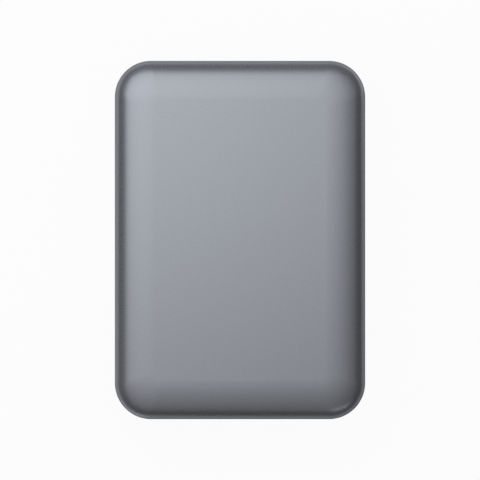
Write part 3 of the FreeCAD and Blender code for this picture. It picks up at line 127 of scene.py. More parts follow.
class Wire:
    """An output socket of a node tree, with operators that add Math nodes."""

    def __init__(self, tree, socket=None):
        self.tree = tree
        self.socket = socket

    def node(self, kind, settings=(), sockets=(), out=0):
        """Adds a node: first its settings, then a value or a link for each socket. Gives one output."""
        made = self.tree.nodes.new(kind)
        for name, value in dict(settings).items():
            if name == "stops":
                set_stops(made.color_ramp, value)
            else:
                setattr(made, name, value)
        for name, value in dict(sockets).items():
            if isinstance(value, Wire):
                self.tree.links.new(value.socket, made.inputs[name])
            else:
                made.inputs[name].default_value = value
        return Wire(self.tree, made.outputs[out] if made.outputs else None)

    def maths(self, operation, first, second=0.0):
        """Adds a Math node."""
        return self.node("ShaderNodeMath", {"operation": operation}, {0: first, 1: second})

    def __add__(self, other):
        return self.maths("ADD", self, other)

    def __radd__(self, other):
        return self.maths("ADD", other, self)

    def __sub__(self, other):
        return self.maths("SUBTRACT", self, other)

    def __rsub__(self, other):
        return self.maths("SUBTRACT", other, self)

    def __mul__(self, other):
        return self.maths("MULTIPLY", self, other)

    def __rmul__(self, other):
        return self.maths("MULTIPLY", other, self)

    def __pow__(self, other):
        return self.maths("POWER", self, other)

    def __gt__(self, other):
        return self.maths("GREATER_THAN", self, other)

    def __lt__(self, other):
        return self.maths("LESS_THAN", self, other)

    def __abs__(self):
        return self.maths("ABSOLUTE", self)


def larger(first, second):
    """The larger of two values."""
    return first.maths("MAXIMUM", first, second)


def along(place, axis):
    """One coordinate of a place."""
    return place.node("ShaderNodeSeparateXYZ", (), {0: place}, out=axis)


print("shader maths ready")

# %% [markdown]
# ## Level sheets
# The stage has a floor and two sheets of light, and each is a level rectangle. A plane could be scaled
# as an object, but then a pattern on it would be stretched with it, so the size goes into the mesh. The
# Light Path node tells the camera's rays from others, and a ramp reads a level off a curve of stops.


# %% Helpers for the stage
def level_sheet(name, span_x, span_y, z):
    """Level rectangle that belongs to the stage. Gives the tree of its empty material."""
    shape = bmesh.new()
    bmesh.ops.create_grid(shape, x_segments=1, y_segments=1, size=0.5)
    spread = Vector((span_x[1] - span_x[0], span_y[1] - span_y[0], 1.0))
    bmesh.ops.scale(shape, vec=spread, verts=shape.verts)
    bmesh.ops.translate(shape, vec=(sum(span_x) / 2, sum(span_y) / 2, z), verts=shape.verts)
    mesh = bpy.data.meshes.new(name)
    shape.to_mesh(mesh)
    shape.free()
    sheet = bpy.data.objects.new(name, mesh)
    bpy.context.collection.objects.link(sheet)
    sheet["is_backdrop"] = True
    paint = bpy.data.materials.new(name)
    paint.use_nodes = True
    paint.node_tree.nodes.clear()
    mesh.materials.append(paint)
    return paint.node_tree


def ray_kind(start, kind):
    """1 for rays of one kind, and 0 for the rest."""
    return start.node("ShaderNodeLightPath", out=kind)


def ends_of(stops):
    """First and last value of a curve of stops."""
    return stops[0][0], stops[-1][0]


def ramp(value, stops):
    """Grey level read off a curve of stops, each a value and its level."""
    first, last = ends_of(stops)
    spread = [((stop - first) / (last - first), level) for stop, level in stops]
    share = (value - first) * (1.0 / (last - first))
    return value.node("ShaderNodeValToRGB", {"stops": spread}, {0: share})


print("stage helpers ready")

# %% [markdown]
# ## The floor
# The ground of the photograph is white. More light would turn pale paint white, but the same light
# would fall on the drive and bleach it. So the floor is pale paint that also glows white for the
# camera, as a lit table does. The rim of the cover mirrors the floor close by, and the light comes from
# the upper left. So for reflections a painted light glows on the floor beside the drive on the left and
# behind it. On the other two sides reflections see a painted shadow against the drive and a painted
# pale band a few centimetres out, which draws a thin line along the rim. What is left of the real paint
# keeps the soft shadow of the drive.

# %% A white floor
FLOOR_SIDE = 12.0
FLOOR_GREY = 0.65
GLOW_FOR_CAMERA = 0.95
# Each stop has a distance from the side of the drive in metres, and what reflections show there: the share
# of painted white light on the two lit sides, and on the other two how pale the paint is, with a painted
# shadow against the drive and a painted pale band beyond it
PAINTED_LIGHT_SIDES = [(-0.001, 0.02), (0.0, 0.55), (0.06, 0.55), (0.13, 0.25), (0.3, 0.1), (0.6, 0.02)]
PAINTED_SHADOW_AND_BAND_SIDES = [
    (-0.001, 1.0), (0.0, 0.75), (0.015, 0.75), (0.045, 1.45),
    (0.08, 1.4), (0.13, 1.0), (0.3, 0.75), (0.6, 0.6),
]
BLACK = (0.0, 0.0, 0.0, 1.0)
WHITE = (1.0, 1.0, 1.0, 1.0)

half_floor = (-FLOOR_SIDE / 2, FLOOR_SIDE / 2)
start = Wire(level_sheet("floor", half_floor, half_floor, 0.0))
place = start.node("ShaderNodeTexCoord", out="Object")
x, y = along(place, "X"), along(place, "Y")
(left, front, _), (right, back, _) = cad_box
# Painted light: a white glow beside the drive on the left and behind it, seen only in reflections
painted_light = larger(ramp(left - x, PAINTED_LIGHT_SIDES), ramp(y - back, PAINTED_LIGHT_SIDES))
# Painted shadow against the drive on the right and in front, with a painted pale band further out
painted_shadow_and_band = ramp(larger(x - right, front - y), PAINTED_SHADOW_AND_BAND_SIDES)
reflected = larger(ray_kind(start, "Is Glossy Ray"), ray_kind(start, "Is Transmission Ray"))
glowing = larger(GLOW_FOR_CAMERA * ray_kind(start, "Is Camera Ray"), painted_light * reflected)
# The paint is a blend of black and white, and its grey is the share of white. For reflections the
# painted shadow and pale band scale it
grey = FLOOR_GREY * (1.0 + reflected * (painted_shadow_and_band - 1.0))
black, white = [start.node("ShaderNodeBsdfDiffuse", (), {"Color": colour}) for colour in (BLACK, WHITE)]
paint = start.node("ShaderNodeMixShader", (), {0: grey, 1: black, 2: white})
glow = start.node("ShaderNodeEmission", (), {"Color": WHITE, "Strength": 1.0})
both = start.node("ShaderNodeMixShader", (), {0: glowing, 1: paint, 2: glow})
start.node("ShaderNodeOutputMaterial", (), {"Surface": both})
print("floor", FLOOR_SIDE, "m wide")

# %% [markdown]
# ## The sheets of light
# Satin metal shows what hangs above it, so the light can be read off the paint. The face is brightest
# at the upper left and fades to the right and to the front: that is a scrim, a cloth lit from behind,
# over the upper left corner. Several lamps could add up to that fade, but each would leave an edge of
# its own, so it is one sheet with a graded glow. A card in front of it, brighter to the right, gives
# the soft glint at the lower right corner.

# %% A graded scrim and a card
SHEET_HEIGHT = 0.45
SCRIM_LEVEL = 1.5
SCRIM_LEAST = 0.15
SCRIM_ACROSS = [
    (-0.8, 0.1), (-0.64, 0.4), (-0.56, 0.88), (-0.25, 1.0), (-0.1, 1.0), (0.0, 0.86),
    (0.1, 0.67), (0.2, 0.55), (0.3, 0.42), (0.4, 0.27), (0.8, 0.1),
]
SCRIM_LENGTHWISE = [
    (-0.75, 0.12), (-0.5, 0.17), (-0.3, 0.27), (-0.2, 0.36), (-0.1, 0.495), (0.0, 0.75),
    (0.1, 0.94), (0.2, 1.0), (0.5, 0.94), (0.62, 0.74), (0.7, 0.4), (0.9, 0.15),
]
CARD_ACROSS = [(-0.4, 0.2), (0.1, 0.3), (0.35, 1.2), (0.6, 1.1), (0.95, 0.4)]
CARD_LENGTHWISE = (-0.98, -0.76)


def scrim_level(place):
    """Glow of the scrim, which fades across and lengthwise."""
    fade = ramp(along(place, "X"), SCRIM_ACROSS) * ramp(along(place, "Y"), SCRIM_LENGTHWISE)
    return fade * SCRIM_LEVEL + SCRIM_LEAST


def card_level(place):
    """Glow of the card, which fades across alone."""
    return ramp(along(place, "X"), CARD_ACROSS)


for name, span_x, span_y, level_at in (
    ("scrim", ends_of(SCRIM_ACROSS), ends_of(SCRIM_LENGTHWISE), scrim_level),
    ("card", ends_of(CARD_ACROSS), CARD_LENGTHWISE, card_level),
):
    start = Wire(level_sheet(name, span_x, span_y, SHEET_HEIGHT))
    place = start.node("ShaderNodeTexCoord", out="Object")
    shine = start.node("ShaderNodeEmission", (), {"Color": level_at(place), "Strength": 1.0})
    clear = start.node("ShaderNodeBsdfTransparent")
    both = start.node("ShaderNodeMixShader", (), {0: ray_kind(start, "Is Camera Ray"), 1: shine, 2: clear})
    start.node("ShaderNodeOutputMaterial", (), {"Surface": both})
    print(name, span_x, "by", span_y, "m,", SHEET_HEIGHT, "m up")

# %% [markdown]
# ## The room
# Round the sheets the room is dim, and that draws the dark band along the rounded edge of the cover.
# It could be built as walls. A world with a level for each direction does the same with no geometry:
# a little paler to the upper left, and paler still behind the drive.

# %% A dim room, white for the camera
ROOM_LEVEL = 0.17
ROOM_TILT = (-0.05, 0.065, 0.0)
ROOM_BEHIND = 0.06

world = bpy.data.worlds.new("studio")
bpy.context.scene.world = world
world.use_nodes = True
world.node_tree.nodes.clear()
start = Wire(world.node_tree)
way = start.node("ShaderNodeTexCoord", out="Generated")
tilt = start.node("ShaderNodeVectorMath", {"operation": "DOT_PRODUCT"}, {0: way, 1: ROOM_TILT}, out="Value")
level = tilt + ROOM_LEVEL + ROOM_BEHIND * larger(along(way, "Y"), 0.0)
room = start.node("ShaderNodeBackground", (), {"Color": level, "Strength": 1.0})
white = start.node("ShaderNodeBackground", (), {"Color": WHITE, "Strength": 1.0})
see_through = larger(ray_kind(start, "Is Camera Ray"), ray_kind(start, "Is Transmission Ray"))
both = start.node("ShaderNodeMixShader", (), {0: see_through, 1: room, 2: white})
start.node("ShaderNodeOutputWorld", (), {"Surface": both})
print("room level", ROOM_LEVEL)

# %% [markdown]
# ## How a finish is written
# A finish is a short function. It gets a place on the object, in metres, and the slot's colour from
# the record, and gives the sockets of one shader. Each material could be wired up by itself, but most
# need the same few patterns: lumps of noise, ripples with an even pitch, shades of a colour, and bumps
# with a real depth. Those are written once, and a decorator makes the material.

# %% Patterns, and a maker of materials
colours = {row["slot"]: row["base_color"] for row in record["materials"]}
finishes = {}


def noise(place, size, detail=2.0, stretch=(1.0, 1.0, 1.0)):
    """Soft lumps about this size in metres, drawn out along an axis by its stretch."""
    per_metre = [1.0 / (size * longer) for longer in stretch]
    scaled = place.node("ShaderNodeVectorMath", {"operation": "MULTIPLY"}, {0: place, 1: per_metre})
    return place.node("ShaderNodeTexNoise", (), {"Vector": scaled, "Scale": 1.0, "Detail": detail})


def ripples(value, pitch):
    """Even waves from 0 to 1, one for each pitch."""
    return value.maths("SINE", value * (2 * pi / pitch)) * 0.5 + 0.5


def mixed(share, low, high):
    """Colour between two others, each of them plain or worked out. Sockets 6 and 7 take the colours."""
    low, high = [colour if isinstance(colour, Wire) else (*colour, 1.0) for colour in (low, high)]
    return share.node("ShaderNodeMix", {"data_type": "RGBA"}, {0: share, 6: low, 7: high}, out=2)


def shades(colour, spread, share):
    """Colour that wanders between a darker and a lighter shade of itself."""
    return mixed(share, [c * (1 - spread) for c in colour], [c * (1 + spread) for c in colour])


def bump(height, depth):
    """Normal of a surface with this height, from 0 to 1, and depth in metres."""
    return height.node("ShaderNodeBump", (), {"Height": height, "Distance": depth})


def finish(*names, colour=None):
    """Makes a material for each name from a function that gives the shader's sockets."""
    def register(sockets_of):
        for name in names:
            made = bpy.data.materials.new(name)
            made.use_nodes = True
            shader = made.node_tree.nodes["Principled BSDF"]
            place = Wire(made.node_tree).node("ShaderNodeTexCoord", out="Object")
            for socket, value in sockets_of(place, colour or colours[name]).items():
                if isinstance(value, Wire):
                    made.node_tree.links.new(value.socket, shader.inputs[socket])
                else:
                    shader.inputs[socket].default_value = value
            finishes[name] = made
        return sockets_of
    return register


print(len(colours), "slots to finish")

# %% [markdown]
# ## The shell and the mouldings
# The top cover has a satin paint with fine metal flakes: mostly metal to the light, a little rough,
# with the faint waviness that sprayed paint keeps. Paint shines less at its rim than bare metal would,
# which the specular tint takes care of. The base and the small mouldings are plain plastic with the
# grain of a spark-eroded mould. Rubber is darker and flatter, and a pale bloom lies on it. An image
# could carry such grain, but noise needs no unwrapping and never repeats.

# %% Paint, plastic and rubber
PAINT_RIM = 0.4


@finish("shell_paint")
def satin_paint(place, colour):
    flakes = noise(place, 0.3 * MM)
    waviness = noise(place, 2.5 * MM)
    return {
        "Base Color": shades(colour, 0.03, flakes),
        "Metallic": 0.9,
        "Specular Tint": (PAINT_RIM, PAINT_RIM, PAINT_RIM, 1.0),
        "Roughness": 0.25 + 0.06 * flakes,
        "Normal": bump(waviness, 0.0015 * MM),
    }


@finish("base_plastic", "port_plastic", "ramp_plastic")
def moulded_plastic(place, colour):
    grain = noise(place, 0.35 * MM, detail=3.0)
    flow = noise(place, 25 * MM)
    return {
        "Base Color": shades(colour, 0.1, flow),
        "Roughness": 0.42 + 0.2 * grain,
        "Normal": bump(grain, 0.03 * MM),
    }


@finish("rubber_black", "isolator_rubber", "gasket_rubber")
def rubber(place, colour):
    bloom = noise(place, 3 * MM, detail=4.0)
    pores = noise(place, 0.25 * MM)
    return {
        "Base Color": shades(colour, 0.35, bloom),
        "Roughness": 0.7 + 0.2 * bloom,
        "Normal": bump(pores, 0.02 * MM),
    }


print("finishes so far:", len(finishes))

# %% [markdown]
# ## Sheet metal and turned metal
# How a metal was worked shows as lines. Sheet and drawn cans have long streaks in one direction, and
# turned parts have fine rings about their axis, which here is the axis of the joint they move on. An
# anisotropic shader would draw such highlights too, but few other programs read it, so the lines are
# in the roughness and in a very shallow bump.

# %% Streaks and rings
TURNING_PITCH = 0.12 * MM
POLISH_PITCH = 0.4 * MM
# How much longer a streak is along the metal than across it
ROLLED = 40.0
MILLED = 30.0
axes = {joint["child"]: joint["pos_m"][:2] for joint in frame["joints"]}


def distance_from(place, centre):
    """Distance from an upright axis."""
    x, y = [along(place, axis) - at for axis, at in zip("XY", centre)]
    return (x * x + y * y) ** 0.5


def streaked(*stretch):
    """Finish of sheet and drawn metal, with streaks that are longer along each axis by its stretch."""
    def sockets(place, colour):
        streaks = noise(place, 0.15 * MM, detail=3.0, stretch=stretch)
        haze = noise(place, 4 * MM)
        return {
            "Base Color": shades(colour, 0.1, haze),
            "Metallic": 1.0,
            "Roughness": 0.2 + 0.25 * streaks,
            "Normal": bump(streaks, 0.002 * MM),
        }
    return sockets


def turned(centre):
    """Finish of a part turned about an upright axis."""
    def sockets(place, colour):
        rings = ripples(distance_from(place, centre), TURNING_PITCH)
        haze = noise(place, 4 * MM)
        return {
            "Base Color": shades(colour, 0.06, rings),
            "Metallic": 1.0,
            "Roughness": 0.18 + 0.16 * haze,
            "Normal": bump(rings, 0.002 * MM),
        }
    return sockets


finish("port_steel")(streaked(1.0, ROLLED, 1.0))
finish("shield_steel", "spring_steel")(streaked(ROLLED, 1.0, 1.0))
finish("can_aluminium")(streaked(1.0, 1.0, ROLLED))
finish("arm_aluminium")(streaked(MILLED, MILLED, 1.0))
finish("turned_aluminium")(turned(axes["spindle"]))
finish("pivot_aluminium", colour=colours["turned_aluminium"])(turned(axes["actuator"]))


@finish("platter_mirror")
def polished(place, colour):
    rings = ripples(distance_from(place, axes["spindle"]), POLISH_PITCH)
    haze = noise(place, 18 * MM)
    return {"Base Color": shades(colour, 0.02, haze), "Metallic": 1.0, "Roughness": 0.03 + 0.03 * rings}


print("finishes so far:", len(finishes))

# %% [markdown]
# ## Cast, blasted and plated metal
# The body of the drive is a casting with a lumpy skin under a grey coat. Its lid was blasted with fine
# beads, which leaves a soft even grey. Screws and magnets are plated, so they are smooth, a little
# cloudy, and finely scratched. One metal with other colours would pass from afar, but the grain is
# what tells these apart in the hand.


# %% Grained metals
@finish("casting_aluminium")
def die_cast(place, colour):
    skin = noise(place, 0.8 * MM, detail=4.0)
    stain = noise(place, 12 * MM)
    return {
        "Base Color": shades(colour, 0.12, stain),
        "Metallic": 0.85,
        "Roughness": 0.36 + 0.2 * skin,
        "Normal": bump(skin, 0.02 * MM),
    }


@finish("lid_steel")
def blasted(place, colour):
    pits = noise(place, 0.2 * MM, detail=3.0)
    haze = noise(place, 15 * MM)
    return {
        "Base Color": shades(colour, 0.05, haze),
        "Metallic": 1.0,
        "Roughness": 0.34 + 0.14 * haze,
        "Normal": bump(pits, 0.008 * MM),
    }


@finish("screw_steel", "magnet_nickel")
def plated(place, colour):
    clouds = noise(place, 4 * MM)
    scratches = noise(place, 0.1 * MM, stretch=(1.0, 30.0, 1.0))
    return {
        "Base Color": shades(colour, 0.06, clouds),
        "Metallic": 1.0,
        "Roughness": 0.2 + 0.12 * scratches,
        "Normal": bump(scratches, 0.0005 * MM),
    }


print("finishes so far:", len(finishes))

# %% [markdown]
# ## Motor steel and copper
# The stator is a stack of thin sheets, so its sides are striped with height. Its coils are wound round
# teeth that point outwards, so there the wires lie one beyond the other from the middle. The voice
# coil is wound flat round a window: the wires follow how far a place is from that window's edge. Each
# turn could be a tube of its own, but that is a great many faces for pieces so deep inside.

# %% Stacked sheets and wound wire
LAMINATION_PITCH = 0.35 * MM
WIRE_PITCH = 0.25 * MM
COIL_DIRECTION = radians(20.9)
COIL_WINDOW_RADII = (16.0 * MM, 23.0 * MM)
COIL_WINDOW_HALF_ANGLE = radians(7.0)


@finish("motor_steel")
def laminated(place, colour):
    sheets = ripples(along(place, "Z"), LAMINATION_PITCH)
    scale = noise(place, 1 * MM)
    return {
        "Base Color": shades(colour, 0.3, sheets),
        "Metallic": 1.0,
        "Roughness": 0.3 + 0.2 * scale,
        "Normal": bump(sheets, 0.03 * MM),
    }


def wound(depth_of):
    """Finish of enamelled wire that lies in turns, one for each step of a depth."""
    def sockets(place, colour):
        wires = ripples(depth_of(place), WIRE_PITCH)
        varnish = noise(place, 1 * MM)
        return {
            "Base Color": shades(colour, 0.35, wires),
            "Metallic": 0.9,
            "Roughness": 0.18 + 0.15 * varnish,
            "Normal": bump(wires, 0.08 * MM),
        }
    return sockets


def from_spindle(place):
    """Depth of a wire on the stator's teeth."""
    return distance_from(place, axes["spindle"])


def from_coil_window(place):
    """Depth of a wire in the voice coil, from the edge of its window."""
    x, y = [along(place, axis) - at for axis, at in zip("XY", axes["actuator"])]
    reach = distance_from(place, axes["actuator"])
    beside = (abs(x.maths("ARCTAN2", y, x) - COIL_DIRECTION) - COIL_WINDOW_HALF_ANGLE) * reach
    near, far = COIL_WINDOW_RADII
    beyond = abs(reach - (near + far) / 2) - (far - near) / 2
    return larger(beside, beyond)


finish("copper_wire")(wound(from_spindle))
finish("voice_coil_wire", colour=colours["copper_wire"])(wound(from_coil_window))
print("finishes so far:", len(finishes))

# %% [markdown]
# ## Boards, chips and film
# A printed board is green where solder mask covers it, with paler tracks and small tinned holes, and
# its sawn edge shows the glass fibre. Every track could be drawn, but long bricks and scattered cells
# have the same look with two nodes. Moulded chips are dark and sandy. The flexible circuit is amber
# film with copper tracks along it, and small capacitors are brown ceramic.

# %% Electronics
TRACK_GREEN = (0.05, 0.24, 0.11)
TIN = (0.62, 0.62, 0.6)
GLASS_FIBRE = (0.42, 0.4, 0.22)
TRACK_COPPER = (0.6, 0.3, 0.12)
# A film has a track wherever its ripples rise above the level
FILM_TRACK_PITCH = 0.6 * MM
FILM_TRACK_LEVEL = 0.6
PER_MM = (1.0 / MM, 1.0 / MM, 1.0 / MM)
# Tracks of a board in millimetres, and how far each row is shifted, as a share of a track's length
TRACK_WIDTH = 0.1
TRACK_LENGTH = 6.0
TRACK_PITCH = 0.9
TRACK_SHIFT = 0.37
# Holes lie in cells, and their radius is a share of a cell
HOLE_CELLS_PER_MM = 0.35
HOLE_RADIUS = 0.09
# A face whose normal rises less than this is a sawn edge
SAWN_RISE = 0.5


@finish("board_green")
def printed_board(place, colour):
    in_mm = place.node("ShaderNodeVectorMath", {"operation": "MULTIPLY"}, {0: place, 1: PER_MM})
    brick = {
        "Vector": in_mm,
        "Scale": 1.0,
        "Mortar Size": TRACK_WIDTH,
        "Brick Width": TRACK_LENGTH,
        "Row Height": TRACK_PITCH,
    }
    tracks = place.node("ShaderNodeTexBrick", {"offset": TRACK_SHIFT}, brick, out="Fac")
    cells = place.node("ShaderNodeTexVoronoi", (), {"Vector": in_mm, "Scale": HOLE_CELLS_PER_MM})
    holes = cells < HOLE_RADIUS
    sawn = abs(along(place.node("ShaderNodeTexCoord", out="Normal"), "Z")) < SAWN_RISE
    mask = mixed(holes, mixed(tracks, colour, TRACK_GREEN), TIN)
    return {
        "Base Color": mixed(sawn, mask, GLASS_FIBRE),
        "Roughness": 0.3 + 0.4 * sawn,
        "Normal": bump(tracks, 0.03 * MM),
    }


@finish("chip_epoxy")
def moulded_epoxy(place, colour):
    specks = noise(place, 0.12 * MM, detail=3.0)
    sheen = noise(place, 2 * MM)
    return {
        "Base Color": shades(colour, 0.35, specks),
        "Roughness": 0.42 + 0.2 * sheen,
        "Normal": bump(specks, 0.01 * MM),
    }


@finish("ceramic", colour=(0.3, 0.22, 0.15))
def ceramic(place, colour):
    specks = noise(place, 0.1 * MM, detail=3.0)
    return {"Base Color": shades(colour, 0.25, specks), "Roughness": 0.35 + 0.2 * specks}


@finish("flex_amber")
def printed_film(place, colour):
    tracks = ripples(along(place, "Z"), FILM_TRACK_PITCH) > FILM_TRACK_LEVEL
    cloud = noise(place, 2 * MM)
    return {
        "Base Color": mixed(tracks, shades(colour, 0.12, cloud), TRACK_COPPER),
        "Metallic": 0.6 * tracks,
        "Roughness": 0.22 + 0.12 * cloud,
        "Normal": bump(tracks, 0.02 * MM),
    }


@finish("contact_gold", colour=(0.83, 0.6, 0.26))
def gold_plate(place, colour):
    wear = noise(place, 0.3 * MM, detail=3.0)
    return {"Base Color": shades(colour, 0.1, wear), "Metallic": 1.0, "Roughness": 0.15 + 0.2 * wear}


print("finishes so far:", len(finishes))

# %% [markdown]
# ## Foam, felt and clear plastic
# The pad under the drive is foam with open cells, and the air filter is felt in pleats. Both are soft
# and dull, so the pattern is mostly in the bump. The rod that carries the light of the diode is clear
# plastic with a matted end: pure glass would only show the dark inside, so half of the light is
# scattered at its surface.

# %% Soft and clear parts
PLEAT_PITCH = 1.5 * MM
FOAM_CELLS_PER_METRE = 2000.0


@finish("foam_pad")
def foam(place, colour):
    cells = place.node("ShaderNodeTexVoronoi", (), {"Vector": place, "Scale": FOAM_CELLS_PER_METRE})
    return {
        "Base Color": shades(colour, 0.5, cells),
        "Roughness": 0.8 + 0.15 * cells,
        "Normal": bump(cells, 0.15 * MM),
    }


@finish("filter_white")
def felt(place, colour):
    pleats = ripples(along(place, "X"), PLEAT_PITCH)
    fibres = noise(place, 0.12 * MM, detail=4.0, stretch=(5.0, 5.0, 1.0))
    return {
        "Base Color": shades(colour, 0.12, fibres),
        "Roughness": 0.8 + 0.15 * fibres,
        "Normal": bump(pleats + 0.3 * fibres, 0.2 * MM),
    }


@finish("clear_plastic", "led_resin")
def clear_moulding(place, colour):
    haze = noise(place, 0.5 * MM)
    return {
        "Base Color": shades(colour, 0.03, haze),
        "Transmission Weight": 0.55,
        "IOR": 1.49,
        "Roughness": 0.2 + 0.2 * haze,
    }


print("finishes:", len(finishes))

# %% [markdown]
# ## Every piece gets its finish
# Sixty pieces share these finishes. They could be listed here one by one, but the record already says
# which slot each piece belongs to, so a loop does it. Two pieces need a finish of their own within
# their slot: the bearing turns about the pivot and not about the spindle, and the voice coil is flat.

# %% Put the finishes on
OWN_FINISH = {"pivot_bearing": "pivot_aluminium", "voice_coil": "voice_coil_wire"}

slot_of = {row["node"]: row["material_slot"] for row in record["subparts"]}
for name, obj in nodes.items():
    obj.data.materials.clear()
    obj.data.materials.append(finishes[OWN_FINISH.get(name, slot_of[name])])
print(len(nodes), "pieces finished,", len(set(slot_of.values())), "slots")

# %% [markdown]
# ## Screws
# The CAD screws are plain cylinders. A real one has a head with a broken edge, a six-lobed recess and
# a thread. Half of its section is drawn as a line of points and spun about its axis. A true helix
# could be cut, but at this size rings look the same, and they close cleanly. The ring where the recess
# starts is then pushed in and out into six lobes and sunk.

# %% One screw
SCREW_SIDES = 24
LOBES = 6
# Shares of the recess's radius, of the head's radius, and twice of the head's height
LOBE_DEPTH = 0.16
RECESS_RADIUS = 0.5
RECESS_DEPTH = 0.65
BROKEN_EDGE = 0.3
# Shares of the shank's radius, and of one turn of the thread
THREAD_ROOT = 0.87
POINT_RADIUS = 0.7
CREST_AT, ROOT_AT = 0.25, 0.75
MERGE_DISTANCE = 0.0005 * MM


def verts_in(geometry):
    """The vertices in what an operator made."""
    return [item for item in geometry if isinstance(item, bmesh.types.BMVert)]


def edges_in(geometry):
    """The edges in what an operator made."""
    return [item for item in geometry if isinstance(item, bmesh.types.BMEdge)]


def mesh_of(shape, name):
    """Closes a shape's doubles, turns its faces outwards and gives it as a mesh."""
    bmesh.ops.remove_doubles(shape, verts=shape.verts, dist=MERGE_DISTANCE)
    bmesh.ops.recalc_face_normals(shape, faces=shape.faces)
    mesh = bpy.data.meshes.new(name)
    shape.to_mesh(mesh)
    shape.free()
    return mesh


def screw(shank, pitch, length, head, height, shoulder):
    """One screw along +Z, in millimetres, with the seat of its head at the origin."""
    recess = RECESS_RADIUS * head
    edge = BROKEN_EDGE * height
    section = [(recess, height), (head - edge, height), (head, height - edge), (head, 0.0), *shoulder]
    top = section[-1][1]
    for turn in range(int((length + top) / pitch)):
        section.append((shank, top - (turn + CREST_AT) * pitch))
        section.append((THREAD_ROOT * shank, top - (turn + ROOT_AT) * pitch))
    section += [(POINT_RADIUS * shank, -length), (0.0, -length)]
    shape = bmesh.new()
    line = [shape.verts.new((radius * MM, 0.0, z * MM)) for radius, z in section]
    steps = [shape.edges.new(pair) for pair in zip(line, line[1:])]
    bmesh.ops.spin(shape, geom=line + steps, cent=(0, 0, 0), axis=(0, 0, 1), dvec=(0, 0, 0), angle=2 * pi,
                   steps=SCREW_SIDES, use_merge=True)
    bmesh.ops.remove_doubles(shape, verts=shape.verts, dist=MERGE_DISTANCE)
    rim = [e for e in shape.edges if e.is_boundary]
    for vert in dict.fromkeys(v for e in rim for v in e.verts):
        reach = 1.0 + LOBE_DEPTH * cos(LOBES * atan2(vert.co.y, vert.co.x))
        bmesh.ops.scale(shape, vec=(reach, reach, 1.0), verts=[vert])
    sunk = bmesh.ops.extrude_edge_only(shape, edges=rim)["geom"]
    bmesh.ops.translate(shape, vec=(0, 0, -RECESS_DEPTH * height * MM), verts=verts_in(sunk))
    bmesh.ops.edgeloop_fill(shape, edges=edges_in(sunk))
    return mesh_of(shape, "screw")


print("a screw has", SCREW_SIDES, "sides and a recess with", LOBES, "lobes")

# %% [markdown]
# ## Where the screws go
# Each group of CAD screws is one object. Their places could be typed in again, but the CAD solids
# already say where each screw is, how long it is and how wide its head is. So a copy of the mesh is
# merged and taken apart into its separate solids, and each of them gives the box of one screw.


# %% Take a group of screws apart
def separate_solids(node):
    """Lowest and highest corner of each separate solid of a CAD piece, in millimetres."""
    shape = bmesh.new()
    shape.from_mesh(nodes[node].data)
    bmesh.ops.remove_doubles(shape, verts=shape.verts, dist=MERGE_DISTANCE)
    left = set(shape.verts)
    boxes = []
    while left:
        waiting = [left.pop()]
        corners = []
        while waiting:
            vert = waiting.pop()
            corners.append(vert.co / MM)
            beside = {e.other_vert(vert) for e in vert.link_edges} & left
            left -= beside
            waiting += beside
        boxes.append([Vector([pick(c[k] for c in corners) for k in range(3)]) for pick in (min, max)])
    shape.free()
    return sorted(boxes, key=lambda box: tuple(box[0]))


print(len(separate_solids("lid_screws")), "screws hold the lid")

# %% [markdown]
# ## From a shape to a piece
# Screws, contacts and leads come in rows, so one shape is made and copied. Each copy could be an
# object, but a group that is never taken apart is easier to handle as one mesh. The object stays at
# the origin and its place is in its mesh, as with the CAD pieces, so that patterns keep their scale.
# Faces are shaded smooth, but edges sharper than an angle stay sharp.

# %% Copies in one mesh, and a new object
SMOOTH_ANGLE = radians(35)


def at(place, turn=Matrix()):
    """Place in millimetres, with a turn about itself."""
    return Matrix.Translation(Vector(place) * MM) @ turn


def gathered(one, places):
    """One shape with a copy of a mesh at each place."""
    shape = bmesh.new()
    for place in places:
        copy = one.copy()
        copy.transform(place)
        shape.from_mesh(copy)
        bpy.data.meshes.remove(copy)
    bpy.data.meshes.remove(one)
    return shape


def new_piece(name, shape, slot, own_finish=None):
    """Object from a shape, with its slot's finish or its own. It still has to ride on a body."""
    mesh = mesh_of(shape, name)
    mesh.polygons.foreach_set("use_smooth", [True] * len(mesh.polygons))
    mesh.set_sharp_from_angle(angle=SMOOTH_ANGLE)
    mesh.materials.append(finishes[own_finish or slot])
    piece = bpy.data.objects.new(name, mesh)
    bpy.context.collection.objects.link(piece)
    print(name, len(mesh.polygons), "faces")
    return piece


print("edges stay sharp above", round(SMOOTH_ANGLE, 2), "radians")

# %% [markdown]
# ## The screws in place
# Eight screws hold the drive's lid, four carry the drive in its rubber, and the rest hold the boards
# and the disc clamp. Each threaded screw stands where the plain one was and hides it. The clamp's
# screws ride on the spindle, because they spin with the discs.

# %% Put the screws in
UP, DOWN, SIDEWAYS = Vector((0, 0, 1)), Vector((0, 0, -1)), Vector((1, 0, 0))
# Node, body, way of the head, radius of the shank, pitch, height of the head, section of a shoulder
SCREWS = [
    ("lid_screws", "enclosure", UP, 1.25, 0.5, 0.6, []),
    ("isolator_screws", "enclosure", SIDEWAYS, 1.6, 0.6, 1.7, [(2.0, 0.0), (2.0, -5.5)]),
    ("bridge_screws", "enclosure", UP, 1.1, 0.5, 1.2, []),
    ("controller_screws", "enclosure", DOWN, 1.0, 0.4, 0.45, []),
    ("clamp_screws", "spindle", UP, 0.95, 0.4, 0.8, []),
]


def measured(box, head_way, height):
    """Length and head radius of the screw that fills a box, and the place of its head's seat."""
    low, high = box
    middle = (low + high) / 2
    # A screw that lies along X has its head on its own side of the drive
    way = head_way if middle.x * head_way.x >= 0 else -head_way
    whole = abs((high - low).dot(way))
    head = max(side for side, part in zip(high - low, way) if not part) / 2
    seat = middle + way * (whole / 2 - height)
    return whole - height, head, at(seat, UP.rotation_difference(way).to_matrix().to_4x4())


